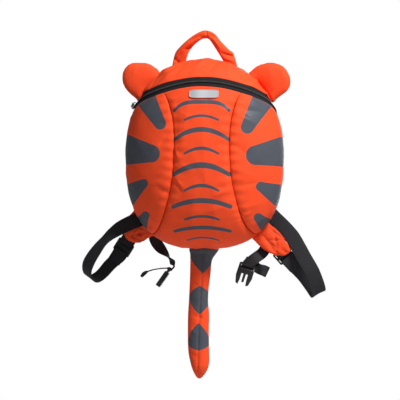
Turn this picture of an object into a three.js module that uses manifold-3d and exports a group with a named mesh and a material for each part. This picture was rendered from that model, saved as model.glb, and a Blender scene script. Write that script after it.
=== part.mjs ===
// A toddler's harness backpack with stuffed ears and a tail, hanging by its grab handle.
// Millimetres, +Z up. The origin is the underside of the handle's peak, +X is the viewer's right
// and the striped front faces -Y. The bag is a padded dome closed by a flat back panel at Y = 0.
import * as THREE from 'three';
import { mergeVertices } from 'three/addons/utils/BufferGeometryUtils.js';
import Module from 'manifold-3d';

const wasm = await Module();
wasm.setup();

// Bag body, measured from the bag's centre, which hangs centreDrop below the handle's peak.
const bodyWidth = 210;
const bodyDepth = 95;
const upperReach = 123;
const lowerReach = 127;
const centreDrop = 150;
const lowerSquareness = 2.7;
const sideRounding = 0.85;
const frontRounding = 0.8;
const panelThickness = 2;
const backThickness = 5;
const backOverhang = 2;
const pieceGap = 0.32;

const halfWidth = bodyWidth / 2;
const centreZ = -centreDrop;
const handleRise = centreDrop - upperReach;

// Seams and zip, drawn on the dome laid flat.
const rimTurn = THREE.MathUtils.degToRad(108);
const crownHeight = 3;
const seamDepth = 3.6;
const seamSpread = 4.2;
const seamWaist = 19.6;
const seamFlareUp = 0.0055;
const seamFlareDown = 0.0042;
const zipRise = 63;
const zipSag = 4;
const zipSagSpan = 92;
const coilWidth = 4.4;
const coilThickness = 2.4;
const tapeWidth = 4.2;
const tapeThickness = 1.2;

const badgeWidth = 39;
const badgeHeight = 10.6;
const badgeThickness = 1.4;
const badgeCorner = 2;
const badgeDrop = 73;

// Zip slider and its pull ring.
const sliderLength = 11;
const sliderWidth = 8;
const sliderHeight = 3.4;
const ringRadius = 3;
const ringWire = 0.7;

// Stuffed trim and the grab handle.
const earThickness = 15;
const earForward = 9;
const tailLength = 174;
const tailWidth = 31;
const tailDepth = 24;
const tailForward = 24;
const handleSpan = 33.5;
const handleForward = 27;

// Harness webbing, wings and hardware.
const webWidth = 20;
const webThickness = 1.5;
const chestWebWidth = 15;
const chestWebThickness = 1.3;
const wingThickness = 6;
const wingForward = 5;
const padWidth = 37;
const padThickness = 8;
const lockLength = 18;
const lockWidth = 26;
const lockThickness = 3;
const lockBar = 2.6;
const lockSlot = 4.6;
const buckleWidth = 22;
const buckleLength = 30;
const buckleThickness = 6.3;
const bucklePlate = 3;

function cloth(colour) {
  return new THREE.MeshStandardMaterial({ color: colour, roughness: 0.75, metalness: 0 });
}

function plastic(colour) {
  return new THREE.MeshStandardMaterial({ color: colour, roughness: 0.4, metalness: 0 });
}

function metal(colour) {
  return new THREE.MeshStandardMaterial({ color: colour, roughness: 0.3, metalness: 0.9 });
}

const orange = 0xf2562c;
const black = 0x26272a;
const zipGrey = 0x35353a;

const group = new THREE.Group();

function addPiece(name, geometry, material) {
  const mesh = new THREE.Mesh(geometry, material);
  mesh.name = name;
  group.add(mesh);
  return mesh;
}

// Builds a geometry from corner points and triangles, joins equal corners, drops the triangles
// that collapse and turns the whole body outward.
function bodyFrom(points, triangles) {
  const seen = new Map();
  const unique = [];
  const index = points.map((point) => {
    const key = point.toArray().map((value) => Math.round(value * 1000)).join(',');
    if (!seen.has(key)) {
      seen.set(key, unique.length);
      unique.push(point);
    }
    return seen.get(key);
  });
  let kept = triangles
    .map((triangle) => triangle.map((corner) => index[corner]))
    .filter(([a, b, c]) => a !== b && b !== c && c !== a);
  const volume = kept.reduce((sum, [a, b, c]) => {
    return sum + unique[a].dot(unique[b].clone().cross(unique[c]));
  }, 0);
  if (volume < 0) {
    kept = kept.map(([a, b, c]) => [a, c, b]);
  }
  const geometry = new THREE.BufferGeometry();
  geometry.setAttribute('position', new THREE.Float32BufferAttribute(unique.flatMap((p) => p.toArray()), 3));
  geometry.setIndex(kept.flat());
  geometry.computeVertexNormals();
  return geometry;
}

// Closed body through rings of equal length, with a fan over each end.
function loft(rings) {
  const count = rings[0].length;
  const points = rings.flat();
  const triangles = [];
  for (let ring = 0; ring < rings.length - 1; ring++) {
    for (let i = 0; i < count; i++) {
      const a = ring * count + i;
      const b = ring * count + (i + 1) % count;
      triangles.push([a, b, b + count], [a, b + count, a + count]);
    }
  }
  const middleOf = (ring) => ring.reduce((sum, p) => sum.add(p), new THREE.Vector3()).divideScalar(count);
  const first = points.push(middleOf(rings[0])) - 1;
  const last = points.push(middleOf(rings[rings.length - 1])) - 1;
  const end = (rings.length - 1) * count;
  for (let i = 0; i < count; i++) {
    const next = (i + 1) % count;
    triangles.push([first, next, i], [last, end + i, end + next]);
  }
  return bodyFrom(points, triangles);
}

// Closed sheet between an outer and an inner grid of points.
function thickSheet(columns, rows, outerAt, innerAt) {
  const points = [];
  const layer = (columns + 1) * (rows + 1);
  for (const pointAt of [outerAt, innerAt]) {
    for (let row = 0; row <= rows; row++) {
      for (let column = 0; column <= columns; column++) {
        points.push(pointAt(column / columns, row / rows));
      }
    }
  }
  const at = (column, row) => row * (columns + 1) + column;
  const triangles = [];
  for (let row = 0; row < rows; row++) {
    for (let column = 0; column < columns; column++) {
      const [a, b] = [at(column, row), at(column + 1, row)];
      const [c, d] = [at(column + 1, row + 1), at(column, row + 1)];
      triangles.push([a, b, c], [a, c, d]);
      triangles.push([a + layer, c + layer, b + layer], [a + layer, d + layer, c + layer]);
    }
  }
  const rim = [];
  for (let column = 0; column < columns; column++) {
    rim.push([at(column, 0), at(column + 1, 0)], [at(column + 1, rows), at(column, rows)]);
  }
  for (let row = 0; row < rows; row++) {
    rim.push([at(columns, row), at(columns, row + 1)], [at(0, row + 1), at(0, row)]);
  }
  for (const [a, b] of rim) {
    triangles.push([a, a + layer, b + layer], [a, b + layer, b]);
  }
  return bodyFrom(points, triangles);
}

// The dome. outlineReach is its front outline as a distance from the centre; a flat point is a
// direction from the centre and a turn over the shoulder of the dome, so distances stay true.
function outlineReach(angle) {
  const up = Math.sin(angle) > 0;
  const power = up ? 2 : lowerSquareness;
  const across = Math.abs(Math.cos(angle)) / halfWidth;
  const along = Math.abs(Math.sin(angle)) / (up ? upperReach : lowerReach);
  return (across ** power + along ** power) ** (-1 / power);
}

function riseShare(turn) {
  const cosine = Math.cos(turn);
  return Math.sign(cosine) * Math.abs(cosine) ** frontRounding;
}

function domePoint(flat) {
  const angle = Math.atan2(flat.y, flat.x);
  const reach = outlineReach(angle);
  const turn = (Math.PI / 2) * (flat.length() / reach);
  const radius = reach * Math.sin(turn) ** sideRounding;
  const rise = (riseShare(turn) - riseShare(rimTurn)) / (1 - riseShare(rimTurn));
  return new THREE.Vector3(
    radius * Math.cos(angle),
    -bodyDepth * rise - pieceGap,
    centreZ + radius * Math.sin(angle),
  );
}

// The flat point whose place on the front of the dome is seen at x and z.
function flatFrom(x, z) {
  const angle = Math.atan2(z - centreZ, x);
  const reach = outlineReach(angle);
  const share = Math.hypot(x, z - centreZ) / reach;
  const length = reach * Math.asin(share ** (1 / sideRounding)) / (Math.PI / 2);
  return new THREE.Vector2(length * Math.cos(angle), length * Math.sin(angle));
}

function domeNormal(flat) {
  const step = 0.5;
  const across = domePoint(new THREE.Vector2(flat.x + step, flat.y));
  across.sub(domePoint(new THREE.Vector2(flat.x - step, flat.y)));
  const along = domePoint(new THREE.Vector2(flat.x, flat.y + step));
  along.sub(domePoint(new THREE.Vector2(flat.x, flat.y - step)));
  return across.cross(along).normalize();
}

function liftedPoint(flat, lift) {
  return domePoint(flat).addScaledVector(domeNormal(flat), lift);
}

// Radius of the dome's side at a distance in front of the back seam, as a share of its outline.
function sideShare(forward) {
  const low = riseShare(rimTurn);
  const rise = low + (1 - low) * (forward - pieceGap) / bodyDepth;
  const cosine = Math.sign(rise) * Math.abs(rise) ** (1 / frontRounding);
  return Math.sqrt(1 - cosine ** 2) ** sideRounding;
}

function borderPoint(angle) {
  const length = outlineReach(angle) * rimTurn / (Math.PI / 2);
  return new THREE.Vector2(length * Math.cos(angle), length * Math.sin(angle));
}

function seamX(y) {
  return seamWaist + (y > 0 ? seamFlareUp : seamFlareDown) * y * y;
}

function zipY(x) {
  return zipRise - zipSag * (x / zipSagSpan) ** 2;
}

function solveBetween(low, high, valueAt) {
  const rising = valueAt(high) > valueAt(low);
  for (let step = 0; step < 50; step++) {
    const middle = (low + high) / 2;
    if ((valueAt(middle) > 0) === rising) {
      high = middle;
    } else {
      low = middle;
    }
  }
  return (low + high) / 2;
}

// Angle at which a line of the flat drawing meets the border.
function seamFootAngle(offset) {
  return solveBetween(-Math.PI / 2, -Math.PI / 6, (angle) => {
    const point = borderPoint(angle);
    return point.x - seamX(point.y) - offset;
  });
}

function zipEndAngle(offset) {
  return solveBetween(0, Math.PI / 3, (angle) => {
    const point = borderPoint(angle);
    return point.y - zipY(point.x) - offset;
  });
}

// Height at which a seam meets the zip's lower edge.
function seamTopY(seamOffset, zipOffset) {
  return solveBetween(zipRise / 2, zipRise * 1.2, (y) => y - zipY(seamX(y) + seamOffset) - zipOffset);
}

// Flat patch between four edges, each a function of a share from 0 to 1.
function patch(bottom, top, left, right) {
  return (u, v) => {
    const point = new THREE.Vector2();
    point.addScaledVector(bottom(u), 1 - v).addScaledVector(top(u), v);
    point.addScaledVector(left(v), 1 - u).addScaledVector(right(v), u);
    point.addScaledVector(bottom(0), -(1 - u) * (1 - v)).addScaledVector(bottom(1), -u * (1 - v));
    point.addScaledVector(top(0), -(1 - u) * v).addScaledVector(top(1), -u * v);
    return point;
  };
}

function seamDip(flat) {
  const distance = Math.abs(flat.x) - seamX(flat.y);
  const below = Math.min(1, Math.max(0, (zipRise + 2 - flat.y) / 4));
  return -seamDepth * below * Math.exp(-((distance / seamSpread) ** 2));
}

function panel(name, columns, rows, flatAt, liftAt) {
  const layer = (depth) => (u, v) => {
    const flat = flatAt(u, v);
    return liftedPoint(flat, seamDip(flat) + liftAt(flat) - depth);
  };
  return addPiece(name, thickSheet(columns, rows, layer(0), layer(panelThickness)), cloth(orange));
}

const zipHalf = coilWidth / 2 + pieceGap + tapeWidth;
const edgeGap = pieceGap / 2;

// Centre panel, from the zip's lower edge to the back seam between the two side seams.
const centreFoot = seamFootAngle(-edgeGap);
const centreTop = seamTopY(-edgeGap, -zipHalf - edgeGap);
const centreFootY = borderPoint(centreFoot).y;

function centreSeam(side) {
  return (v) => {
    const y = centreFootY + (centreTop - centreFootY) * v;
    return new THREE.Vector2(side * (seamX(y) - edgeGap), y);
  };
}

const centrePatch = patch(
  (u) => borderPoint(-Math.PI - centreFoot + (Math.PI + 2 * centreFoot) * u),
  (u) => {
    const x = (2 * u - 1) * (seamX(centreTop) - edgeGap);
    return new THREE.Vector2(x, zipY(x) - zipHalf - edgeGap);
  },
  centreSeam(-1),
  centreSeam(1),
);

// The centre panel stands a little fuller than the panels beside it.
function crownLift(flat) {
  const foot = -lowerReach * rimTurn / (Math.PI / 2);
  const share = (flat.y - foot) / (zipY(flat.x) - zipHalf - foot);
  const belly = Math.sin(Math.PI * 0.9 * THREE.MathUtils.clamp(share, 0, 1)) ** 0.8;
  return crownHeight * belly * Math.max(0, 1 - (flat.x / seamX(flat.y)) ** 2);
}

panel('centre_panel', 14, 22, centrePatch, crownLift);

// Side panels, each from its seam out to the back seam, coming to a point at the bottom.
const sideFoot = seamFootAngle(edgeGap);
const sideFootY = borderPoint(sideFoot).y;
const sideTop = seamTopY(edgeGap, -zipHalf - edgeGap);
const sideEnd = zipEndAngle(-zipHalf - edgeGap);

function sidePatch(side) {
  const mirrored = (point) => new THREE.Vector2(side * point.x, point.y);
  return patch(
    () => mirrored(borderPoint(sideFoot)),
    (u) => {
      const start = seamX(sideTop) + edgeGap;
      const x = start + (borderPoint(sideEnd).x - start) * u;
      return mirrored(new THREE.Vector2(x, zipY(x) - zipHalf - edgeGap));
    },
    (v) => {
      const y = sideFootY + (sideTop - sideFootY) * v;
      return mirrored(new THREE.Vector2(seamX(y) + edgeGap, y));
    },
    (v) => mirrored(borderPoint(sideFoot + (sideEnd - sideFoot) * v)),
  );
}

panel('side_panel_left', 12, 22, sidePatch(-1), () => 0);
panel('side_panel_right', 12, 22, sidePatch(1), () => 0);

// Top gusset, a crescent from the zip's upper edge over the shoulder of the bag to the back seam.
const gussetEnd = zipEndAngle(zipHalf + edgeGap);

panel('top_gusset', 26, 8, (u, v) => {
  const angle = gussetEnd + (Math.PI - 2 * gussetEnd) * (1 - u);
  const outer = borderPoint(angle);
  const x = (2 * u - 1) * borderPoint(gussetEnd).x;
  const inner = new THREE.Vector2(x, zipY(x) + zipHalf + edgeGap);
  return inner.lerp(outer, v);
}, () => 0);

// Zip: a tape each side of the coil, following the same line from back seam to back seam.
function zipStrip(name, low, high, lift, thickness, material) {
  const flatAt = (u, v) => {
    const offset = low + (high - low) * v;
    const x = (2 * u - 1) * (borderPoint(zipEndAngle(offset)).x - pieceGap);
    return new THREE.Vector2(x, zipY(x) + offset);
  };
  const outer = (u, v) => liftedPoint(flatAt(u, v), lift);
  const inner = (u, v) => liftedPoint(flatAt(u, v), lift - thickness);
  return addPiece(name, thickSheet(40, 1, outer, inner), material);
}

const coilHalf = coilWidth / 2;
const tapeLift = -0.6;
const coilLift = 0.4;
const tapeInner = coilHalf + pieceGap;
const tapeOuter = zipHalf - pieceGap;
zipStrip('zip_tape_lower', -tapeOuter, -tapeInner, tapeLift, tapeThickness, cloth(zipGrey));
zipStrip('zip_tape_upper', tapeInner, tapeOuter, tapeLift, tapeThickness, cloth(zipGrey));
zipStrip('zip_coil', -coilHalf, coilHalf, coilLift, coilThickness, plastic(zipGrey));

// A local frame on a piece: u along it, w across it and n up from it.
function frameAt(origin, u, w) {
  const n = u.clone().cross(w).normalize();
  return {
    point: (along, across, up) => origin.clone()
      .addScaledVector(u, along)
      .addScaledVector(w, across)
      .addScaledVector(n, up),
    matrix: new THREE.Matrix4().makeBasis(u, w, n).setPosition(origin),
    u,
    w,
    n,
  };
}

function frameFrom(origin, along, across) {
  const u = along.clone().normalize();
  const w = across.clone().addScaledVector(u, -across.dot(u)).normalize();
  return frameAt(origin, u, w);
}

function frameOnDome(flat, lift) {
  const normal = domeNormal(flat);
  const u = domePoint(new THREE.Vector2(flat.x + 1, flat.y)).sub(domePoint(flat));
  u.addScaledVector(normal, -u.dot(normal)).normalize();
  return frameAt(liftedPoint(flat, lift), u, normal.clone().cross(u));
}

function roundedRectangle(length, width, corner) {
  const outline = [];
  const steps = 3;
  for (const [quarter, x, y] of [[0, 1, 1], [1, -1, 1], [2, -1, -1], [3, 1, -1]]) {
    for (let i = 0; i <= steps; i++) {
      const angle = (quarter + i / steps) * Math.PI / 2;
      outline.push(new THREE.Vector2(
        x * (length / 2 - corner) + corner * Math.cos(angle),
        y * (width / 2 - corner) + corner * Math.sin(angle),
      ));
    }
  }
  return new THREE.Shape(outline);
}

// Extrudes a shape symmetrically about the frame's plane and lays it in that frame.
function plate(shape, thickness, frame) {
  const geometry = new THREE.ExtrudeGeometry(shape, { depth: thickness, bevelEnabled: false });
  geometry.translate(0, 0, -thickness / 2);
  return geometry.applyMatrix4(frame.matrix);
}

// Merges a geometry to shared corners and hands it over as an exact solid.
function solidOf(geometry) {
  const plain = geometry.clone();
  plain.deleteAttribute('normal');
  plain.deleteAttribute('uv');
  const merged = mergeVertices(plain, 1e-4);
  return new wasm.Manifold(new wasm.Mesh({
    numProp: 3,
    vertProperties: new Float32Array(merged.attributes.position.array),
    triVerts: new Uint32Array(merged.index.array),
  }));
}

function geometryOf(solid) {
  const mesh = solid.getMesh();
  const geometry = new THREE.BufferGeometry();
  geometry.setAttribute('position', new THREE.BufferAttribute(new Float32Array(mesh.vertProperties), 3));
  geometry.setIndex(new THREE.BufferAttribute(new Uint32Array(mesh.triVerts), 1));
  geometry.computeVertexNormals();
  return geometry;
}

// A block that cuts a slot through a plate: low and high lie along u, width across it.
function slotBlock(frame, low, high, width, thickness) {
  const block = new THREE.BoxGeometry(high - low, width, thickness * 2);
  block.translate((low + high) / 2, 0, 0);
  return solidOf(block.applyMatrix4(frame.matrix));
}

// Slider on the coil at the left shoulder of the bag, with the ring that pulls it.
const sliderX = -halfWidth * 0.86;
const sliderLift = coilLift + pieceGap + sliderHeight / 2;
const sliderFrame = frameOnDome(new THREE.Vector2(sliderX, zipY(sliderX)), sliderLift);
const sliderShape = roundedRectangle(sliderLength, sliderWidth, 2.4);
addPiece('zip_slider', plate(sliderShape, sliderHeight, sliderFrame), metal(0x6d6f75));

const ring = new THREE.TorusGeometry(ringRadius, ringWire, 8, 16);
const ringDrop = sliderHeight / 2 + pieceGap + ringWire;
ring.applyMatrix4(sliderFrame.matrix);
ring.translate(...sliderFrame.n.clone().multiplyScalar(ringDrop).toArray());
addPiece('zip_pull', ring, metal(0xc9ccd2));

// Badge: a bare plate with rounded corners that bends with the centre panel just under the zip.
const badgeRows = [-1, -0.9, -0.62, 0.62, 0.9, 1];

function badgeLayer(height) {
  return (u, v) => {
    const row = badgeRows[Math.round(v * (badgeRows.length - 1))] * badgeHeight / 2;
    const past = Math.max(0, Math.abs(row) - badgeHeight / 2 + badgeCorner);
    const half = badgeWidth / 2 - badgeCorner + Math.sqrt(badgeCorner ** 2 - past ** 2);
    const flat = flatFrom((2 * u - 1) * half, -badgeDrop + row);
    return liftedPoint(flat, crownLift(flat) + pieceGap + height);
  };
}

const badgeSheet = thickSheet(10, badgeRows.length - 1, badgeLayer(badgeThickness), badgeLayer(0));
addPiece('badge', badgeSheet, plastic(0xbfc3c9));

// Back panel: a flat padded disc that closes the dome and overhangs its seam a little.
const backShares = [0.3, 0.7, 1];
const backRing = (share, y) => {
  const ringPoints = [];
  for (let i = 0; i < 48; i++) {
    const angle = (i / 48) * 2 * Math.PI;
    const radius = share * (outlineReach(angle) * Math.sin(rimTurn) ** sideRounding + backOverhang);
    ringPoints.push(new THREE.Vector3(radius * Math.cos(angle), y, centreZ + radius * Math.sin(angle)));
  }
  return ringPoints;
};
const backRings = backShares.map((share) => backRing(share, 0));
backRings.push(...[...backShares].reverse().map((share) => backRing(share, backThickness)));
addPiece('back_panel', loft(backRings), cloth(0x33343a));

// Points beside the bag as shares of its own sizes.
function bagPoint(across, forward, up) {
  const reach = up > 0 ? upperReach : lowerReach;
  return new THREE.Vector3(across * halfWidth, -forward * bodyDepth, centreZ + up * reach);
}

// Stuffed or padded flap: an outline in the XZ plane, fat in the middle and thin at its edge.
// Each row holds a share of the way out from the middle and a share of the half thickness.
const rootGap = 0.45;
const puffRows = [[0.3, 1], [0.65, 0.86], [0.87, 0.56], [1, 0.14]];

function puffedFlap(outline, thickness, forward) {
  const centre = outline.reduce((sum, p) => sum.add(p), new THREE.Vector2()).divideScalar(outline.length);
  const place = (share, height) => outline.map((point) => {
    const spot = centre.clone().lerp(point, share);
    return new THREE.Vector3(spot.x, height - forward, spot.y);
  });
  const front = puffRows.map(([share, height]) => place(share, -height * thickness / 2));
  const rear = [...puffRows].reverse().map(([share, height]) => place(share, height * thickness / 2));
  return loft([...front, ...rear]);
}

// Outline of a flap: a free edge through a few points, closed by a root that lies along the bag's
// side at the flap's own distance in front of the back seam.
function flapOutline(free, steps, rootSteps, forward) {
  const curve = new THREE.CatmullRomCurve3(free.map(([across, up]) => bagPoint(across, 0, up)));
  const outline = curve.getPoints(steps).map((p) => new THREE.Vector2(p.x, p.z));
  const angleOf = (p) => Math.atan2(p.y - centreZ, p.x);
  const startAngle = angleOf(outline[0]);
  const endAngle = angleOf(outline[outline.length - 1]);
  const rootAt = (angle) => {
    const reach = outlineReach(angle) * sideShare(forward) + rootGap;
    return new THREE.Vector2(reach * Math.cos(angle), centreZ + reach * Math.sin(angle));
  };
  for (let i = 0; i <= rootSteps; i++) {
    outline.push(rootAt(endAngle + (startAngle - endAngle) * (i / rootSteps)));
  }
  return outline;
}

// Ears: across and up as shares of the half width and the upper reach, from the crown outward.
const earEdges = {
  left: [[-0.64, 0.89], [-0.71, 0.955], [-0.82, 0.97], [-0.96, 0.96], [-1.05, 0.876], [-1.067, 0.784],
    [-1.03, 0.69], [-0.955, 0.614], [-0.91, 0.585]],
  right: [[0.61, 0.875], [0.67, 0.935], [0.81, 0.97], [0.96, 0.943], [1.04, 0.876], [1.086, 0.77],
    [1.055, 0.667], [0.962, 0.6], [0.9, 0.56]],
};

for (const [side, edge] of Object.entries(earEdges)) {
  const outline = flapOutline(edge, 18, 6, earForward + 2);
  addPiece(`ear_${side}`, puffedFlap(outline, earThickness, earForward), cloth(orange));
}

// Tail: how far down it a row lies, and its left and right edge, as shares of its width.
const tailRows = [
  { down: 0, left: -0.68, right: 0.66 },
  { down: 0.03, left: -0.67, right: 0.56 },
  { down: 0.09, left: -0.66, right: 0.34 },
  { down: 0.2, left: -0.67, right: 0.28 },
  { down: 0.3, left: -0.69, right: 0.21 },
  { down: 0.4, left: -0.72, right: 0.19 },
  { down: 0.5, left: -0.76, right: 0.23 },
  { down: 0.6, left: -0.77, right: 0.21 },
  { down: 0.72, left: -0.77, right: 0.21 },
  { down: 0.8, left: -0.74, right: 0.22 },
  { down: 0.86, left: -0.67, right: 0.22 },
  { down: 0.91, left: -0.6, right: 0.17 },
  { down: 0.955, left: -0.49, right: 0.04 },
  { down: 0.985, left: -0.39, right: -0.1 },
  { down: 1, left: -0.29, right: -0.2 },
];

const tailTopZ = centreZ - lowerReach - crownHeight / 2;

function ellipseRing(count, centre, halfX, halfY, power) {
  const points = [];
  for (let i = 0; i < count; i++) {
    const angle = (i / count) * 2 * Math.PI;
    const [c, s] = [Math.cos(angle), Math.sin(angle)];
    const x = Math.sign(c) * Math.abs(c) ** power;
    const y = Math.sign(s) * Math.abs(s) ** power;
    points.push(new THREE.Vector3(centre.x + halfX * x, centre.y + halfY * y, centre.z));
  }
  return points;
}

addPiece('tail', loft(tailRows.map(({ down, left, right }) => {
  const half = (right - left) * tailWidth / 2;
  const rounding = Math.min(1, half / (tailWidth * 0.4));
  const middleX = (left + right) * tailWidth / 2;
  const centre = new THREE.Vector3(middleX, -tailForward, tailTopZ - down * tailLength);
  return ellipseRing(14, centre, half, rounding * tailDepth / 2, 0.9);
})), cloth(orange));

// Grab handle: a folded band, broad across the bag at its feet and pinched and turned at its peak.
// Shares of the half span and of the rise from the bag's top to the peak's underside.
const handleRows = [
  { across: -1, up: -1, half: 10, deep: 4.5 },
  { across: -0.95, up: -0.88, half: 8.5, deep: 5.5 },
  { across: -0.78, up: -0.5, half: 6.6, deep: 8 },
  { across: -0.5, up: -0.14, half: 5.4, deep: 10 },
  { across: -0.2, up: 0.12, half: 5, deep: 11 },
  { across: 0.03, up: 0.2, half: 5.4, deep: 11 },
  { across: 0.28, up: 0.1, half: 5.2, deep: 11 },
  { across: 0.52, up: -0.28, half: 5.6, deep: 10 },
  { across: 0.8, up: -0.72, half: 7.2, deep: 7 },
  { across: 0.95, up: -0.95, half: 8.6, deep: 5.5 },
  { across: 1, up: -1, half: 10, deep: 4.5 },
];

function bagTopZ(x) {
  return centreZ + upperReach * Math.sqrt(1 - Math.min(1, Math.abs(x) / halfWidth) ** 2);
}

function handleRing(row, index) {
  const place = (r) => new THREE.Vector2(r.across * handleSpan, r.up * handleRise);
  const before = place(handleRows[Math.max(0, index - 1)]);
  const after = place(handleRows[Math.min(handleRows.length - 1, index + 1)]);
  const middle = place(row);
  const isFoot = index === 0 || index === handleRows.length - 1;
  const run = after.sub(before).normalize();
  const out = isFoot ? new THREE.Vector2(Math.sign(row.across), 0) : new THREE.Vector2(-run.y, run.x);
  const turn = isFoot && row.across > 0 ? 1 : -1;
  return ellipseRing(12, new THREE.Vector3(), row.half, row.deep, 0.7).map((p) => {
    const x = middle.x + out.x * p.x * (isFoot ? turn : 1);
    const z = isFoot ? bagTopZ(x) + pieceGap : middle.y + out.y * p.x;
    return new THREE.Vector3(x, -handleForward + p.y, z);
  });
}

addPiece('grab_handle', loft(handleRows.map(handleRing)), cloth(orange));

// Wings: padded tabs from the back seam at the bag's lower corners, as shares like the ears.
const leftWingEdge = [[-0.905, -0.6], [-1, -0.686], [-1.057, -0.776], [-1.05, -0.864],
  [-0.99, -0.93], [-0.9, -0.96], [-0.81, -0.95], [-0.7, -0.9], [-0.64, -0.885]];
const rightWingEdge = [[0.81, -0.745], [0.96, -0.847], [1.02, -0.917], [1.085, -1.03],
  [1.06, -1.063], [0.97, -1.1], [0.88, -1.09], [0.8, -1.068], [0.66, -0.98], [0.59, -0.91]];

const leftWing = flapOutline(leftWingEdge, 18, 6, wingForward + 1);
const rightWing = flapOutline(rightWingEdge, 18, 6, wingForward + 1);
addPiece('wing_left', puffedFlap(leftWing, wingThickness, wingForward), cloth(orange));
addPiece('wing_right', puffedFlap(rightWing, wingThickness, wingForward), cloth(orange));

// Flat webbing: a strip along a route, each stop holding a point and the way the width runs.
function webbing(stops, width, thickness, steps) {
  const route = new THREE.CatmullRomCurve3(stops.map(([point]) => point));
  const sides = new THREE.CatmullRomCurve3(stops.map(([, side]) => side));
  const rings = [];
  for (let i = 0; i <= steps; i++) {
    const share = i / steps;
    const middle = route.getPoint(share);
    const run = route.getTangent(share);
    const side = sides.getPoint(share);
    side.addScaledVector(run, -side.dot(run)).normalize();
    const face = run.clone().cross(side);
    const corner = (w, t) => middle.clone()
      .addScaledVector(side, w * width / 2)
      .addScaledVector(face, t * thickness / 2);
    rings.push([corner(-1, -1), corner(1, -1), corner(1, 1), corner(-1, 1)]);
  }
  return loft(rings);
}

function vector(x, y, z) {
  return new THREE.Vector3(x, y, z);
}

function rearPoint(across, up, lift) {
  const point = bagPoint(across, 0, up);
  point.y = backThickness + lift;
  return point;
}

// Shoulder pads: from the back panel's top, bowed away from it for the arms, and down its sides.
const padStops = [
  { across: 0.27, up: 0.86, off: pieceGap + 0.1 },
  { across: 0.34, up: 0.6, off: 12 },
  { across: 0.45, up: 0.32, off: 20 },
  { across: 0.54, up: 0.05, off: 17 },
  { across: 0.59, up: -0.2, off: 8 },
];

function shoulderPad(side) {
  const route = new THREE.CatmullRomCurve3(padStops.map(({ across, up, off }) => {
    return rearPoint(side * across, up, off + padThickness / 2);
  }));
  const rings = [];
  const steps = 12;
  for (let i = 0; i <= steps; i++) {
    const share = i / steps;
    const middle = route.getPoint(share);
    const run = i === 0 ? vector(0, 0, -1) : route.getTangent(share);
    const across = vector(1, 0, 0);
    across.addScaledVector(run, -across.dot(run)).normalize();
    const face = run.clone().cross(across);
    const fill = Math.sin(Math.PI * (0.12 + 0.76 * share)) ** 0.4;
    rings.push(ellipseRing(10, vector(0, 0, 0), fill * padWidth / 2, padThickness / 2, 0.6).map((p) => {
      return middle.clone().addScaledVector(across, p.x).addScaledVector(face, p.y);
    }));
  }
  return { geometry: loft(rings), end: route.getPoint(1), run: route.getTangent(1) };
}

const leftPad = shoulderPad(-1);
const rightPad = shoulderPad(1);
addPiece('shoulder_pad_left', leftPad.geometry, cloth(0x2f3035));
addPiece('shoulder_pad_right', rightPad.geometry, cloth(0x2f3035));

// Ladder-lock buckles at the wing tips: u runs from the wing toward the webbing.
function ladderLock(name, frame) {
  const slotWidth = webWidth + 1.4;
  const firstSlot = -lockLength / 2 + lockBar;
  const lastSlot = lockLength / 2 - lockBar - lockSlot;
  let solid = solidOf(plate(roundedRectangle(lockLength, lockWidth, 2), lockThickness, frame));
  for (const low of [firstSlot, lastSlot]) {
    solid = solid.subtract(slotBlock(frame, low, low + lockSlot, slotWidth, lockThickness));
  }
  addPiece(name, geometryOf(solid), plastic(black));
}

// Stops that carry a strip of a given thickness round a bar that lies across a frame, from below
// to above: toward is the side of the bar that its legs leave on, as 1 or -1 along u.
function barTurn(frame, barMiddle, barHalf, barThickness, thickness, toward) {
  const level = barThickness / 2 + thickness / 2 + pieceGap;
  const inside = barHalf + thickness / 2 + pieceGap + 0.5;
  const stop = (along, up) => [frame.point(barMiddle + toward * along, 0, up * level), frame.w];
  return [
    stop(0, -1),
    stop(-inside * 0.62, -0.96),
    stop(-inside, -0.5),
    stop(-inside, 0.5),
    stop(-inside * 0.62, 0.96),
    stop(0, 1),
  ];
}

const leftLock = frameFrom(bagPoint(-1.05, -0.07, -1), vector(-0.53, 0, -0.85), vector(0.72, -0.4, -0.5));
const rightLock = frameFrom(bagPoint(0.99, -0.03, -1.07), vector(0.66, 0, -0.75), vector(-0.75, 0, -0.66));
ladderLock('ladder_lock_left', leftLock);
ladderLock('ladder_lock_right', rightLock);

// Stops for a strip round one of the lock's end bars: end is -1 at the wing and 1 at the webbing.
function lockTurn(frame, end, legs) {
  const middle = end * (lockLength - lockBar) / 2;
  const level = lockThickness / 2 + webThickness / 2 + pieceGap;
  return [
    [frame.point(middle + end * legs[0], 0, -level), frame.w],
    ...barTurn(frame, middle, lockBar / 2, lockThickness, webThickness, end),
    [frame.point(middle + end * legs[1], 0, level), frame.w],
  ];
}

const tabLeg = 9;
for (const [side, frame] of [['left', leftLock], ['right', rightLock]]) {
  const strip = webbing(lockTurn(frame, -1, [tabLeg, tabLeg]), webWidth, webThickness, 20);
  addPiece(`buckle_tab_${side}`, strip, cloth(black));
}

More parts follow.
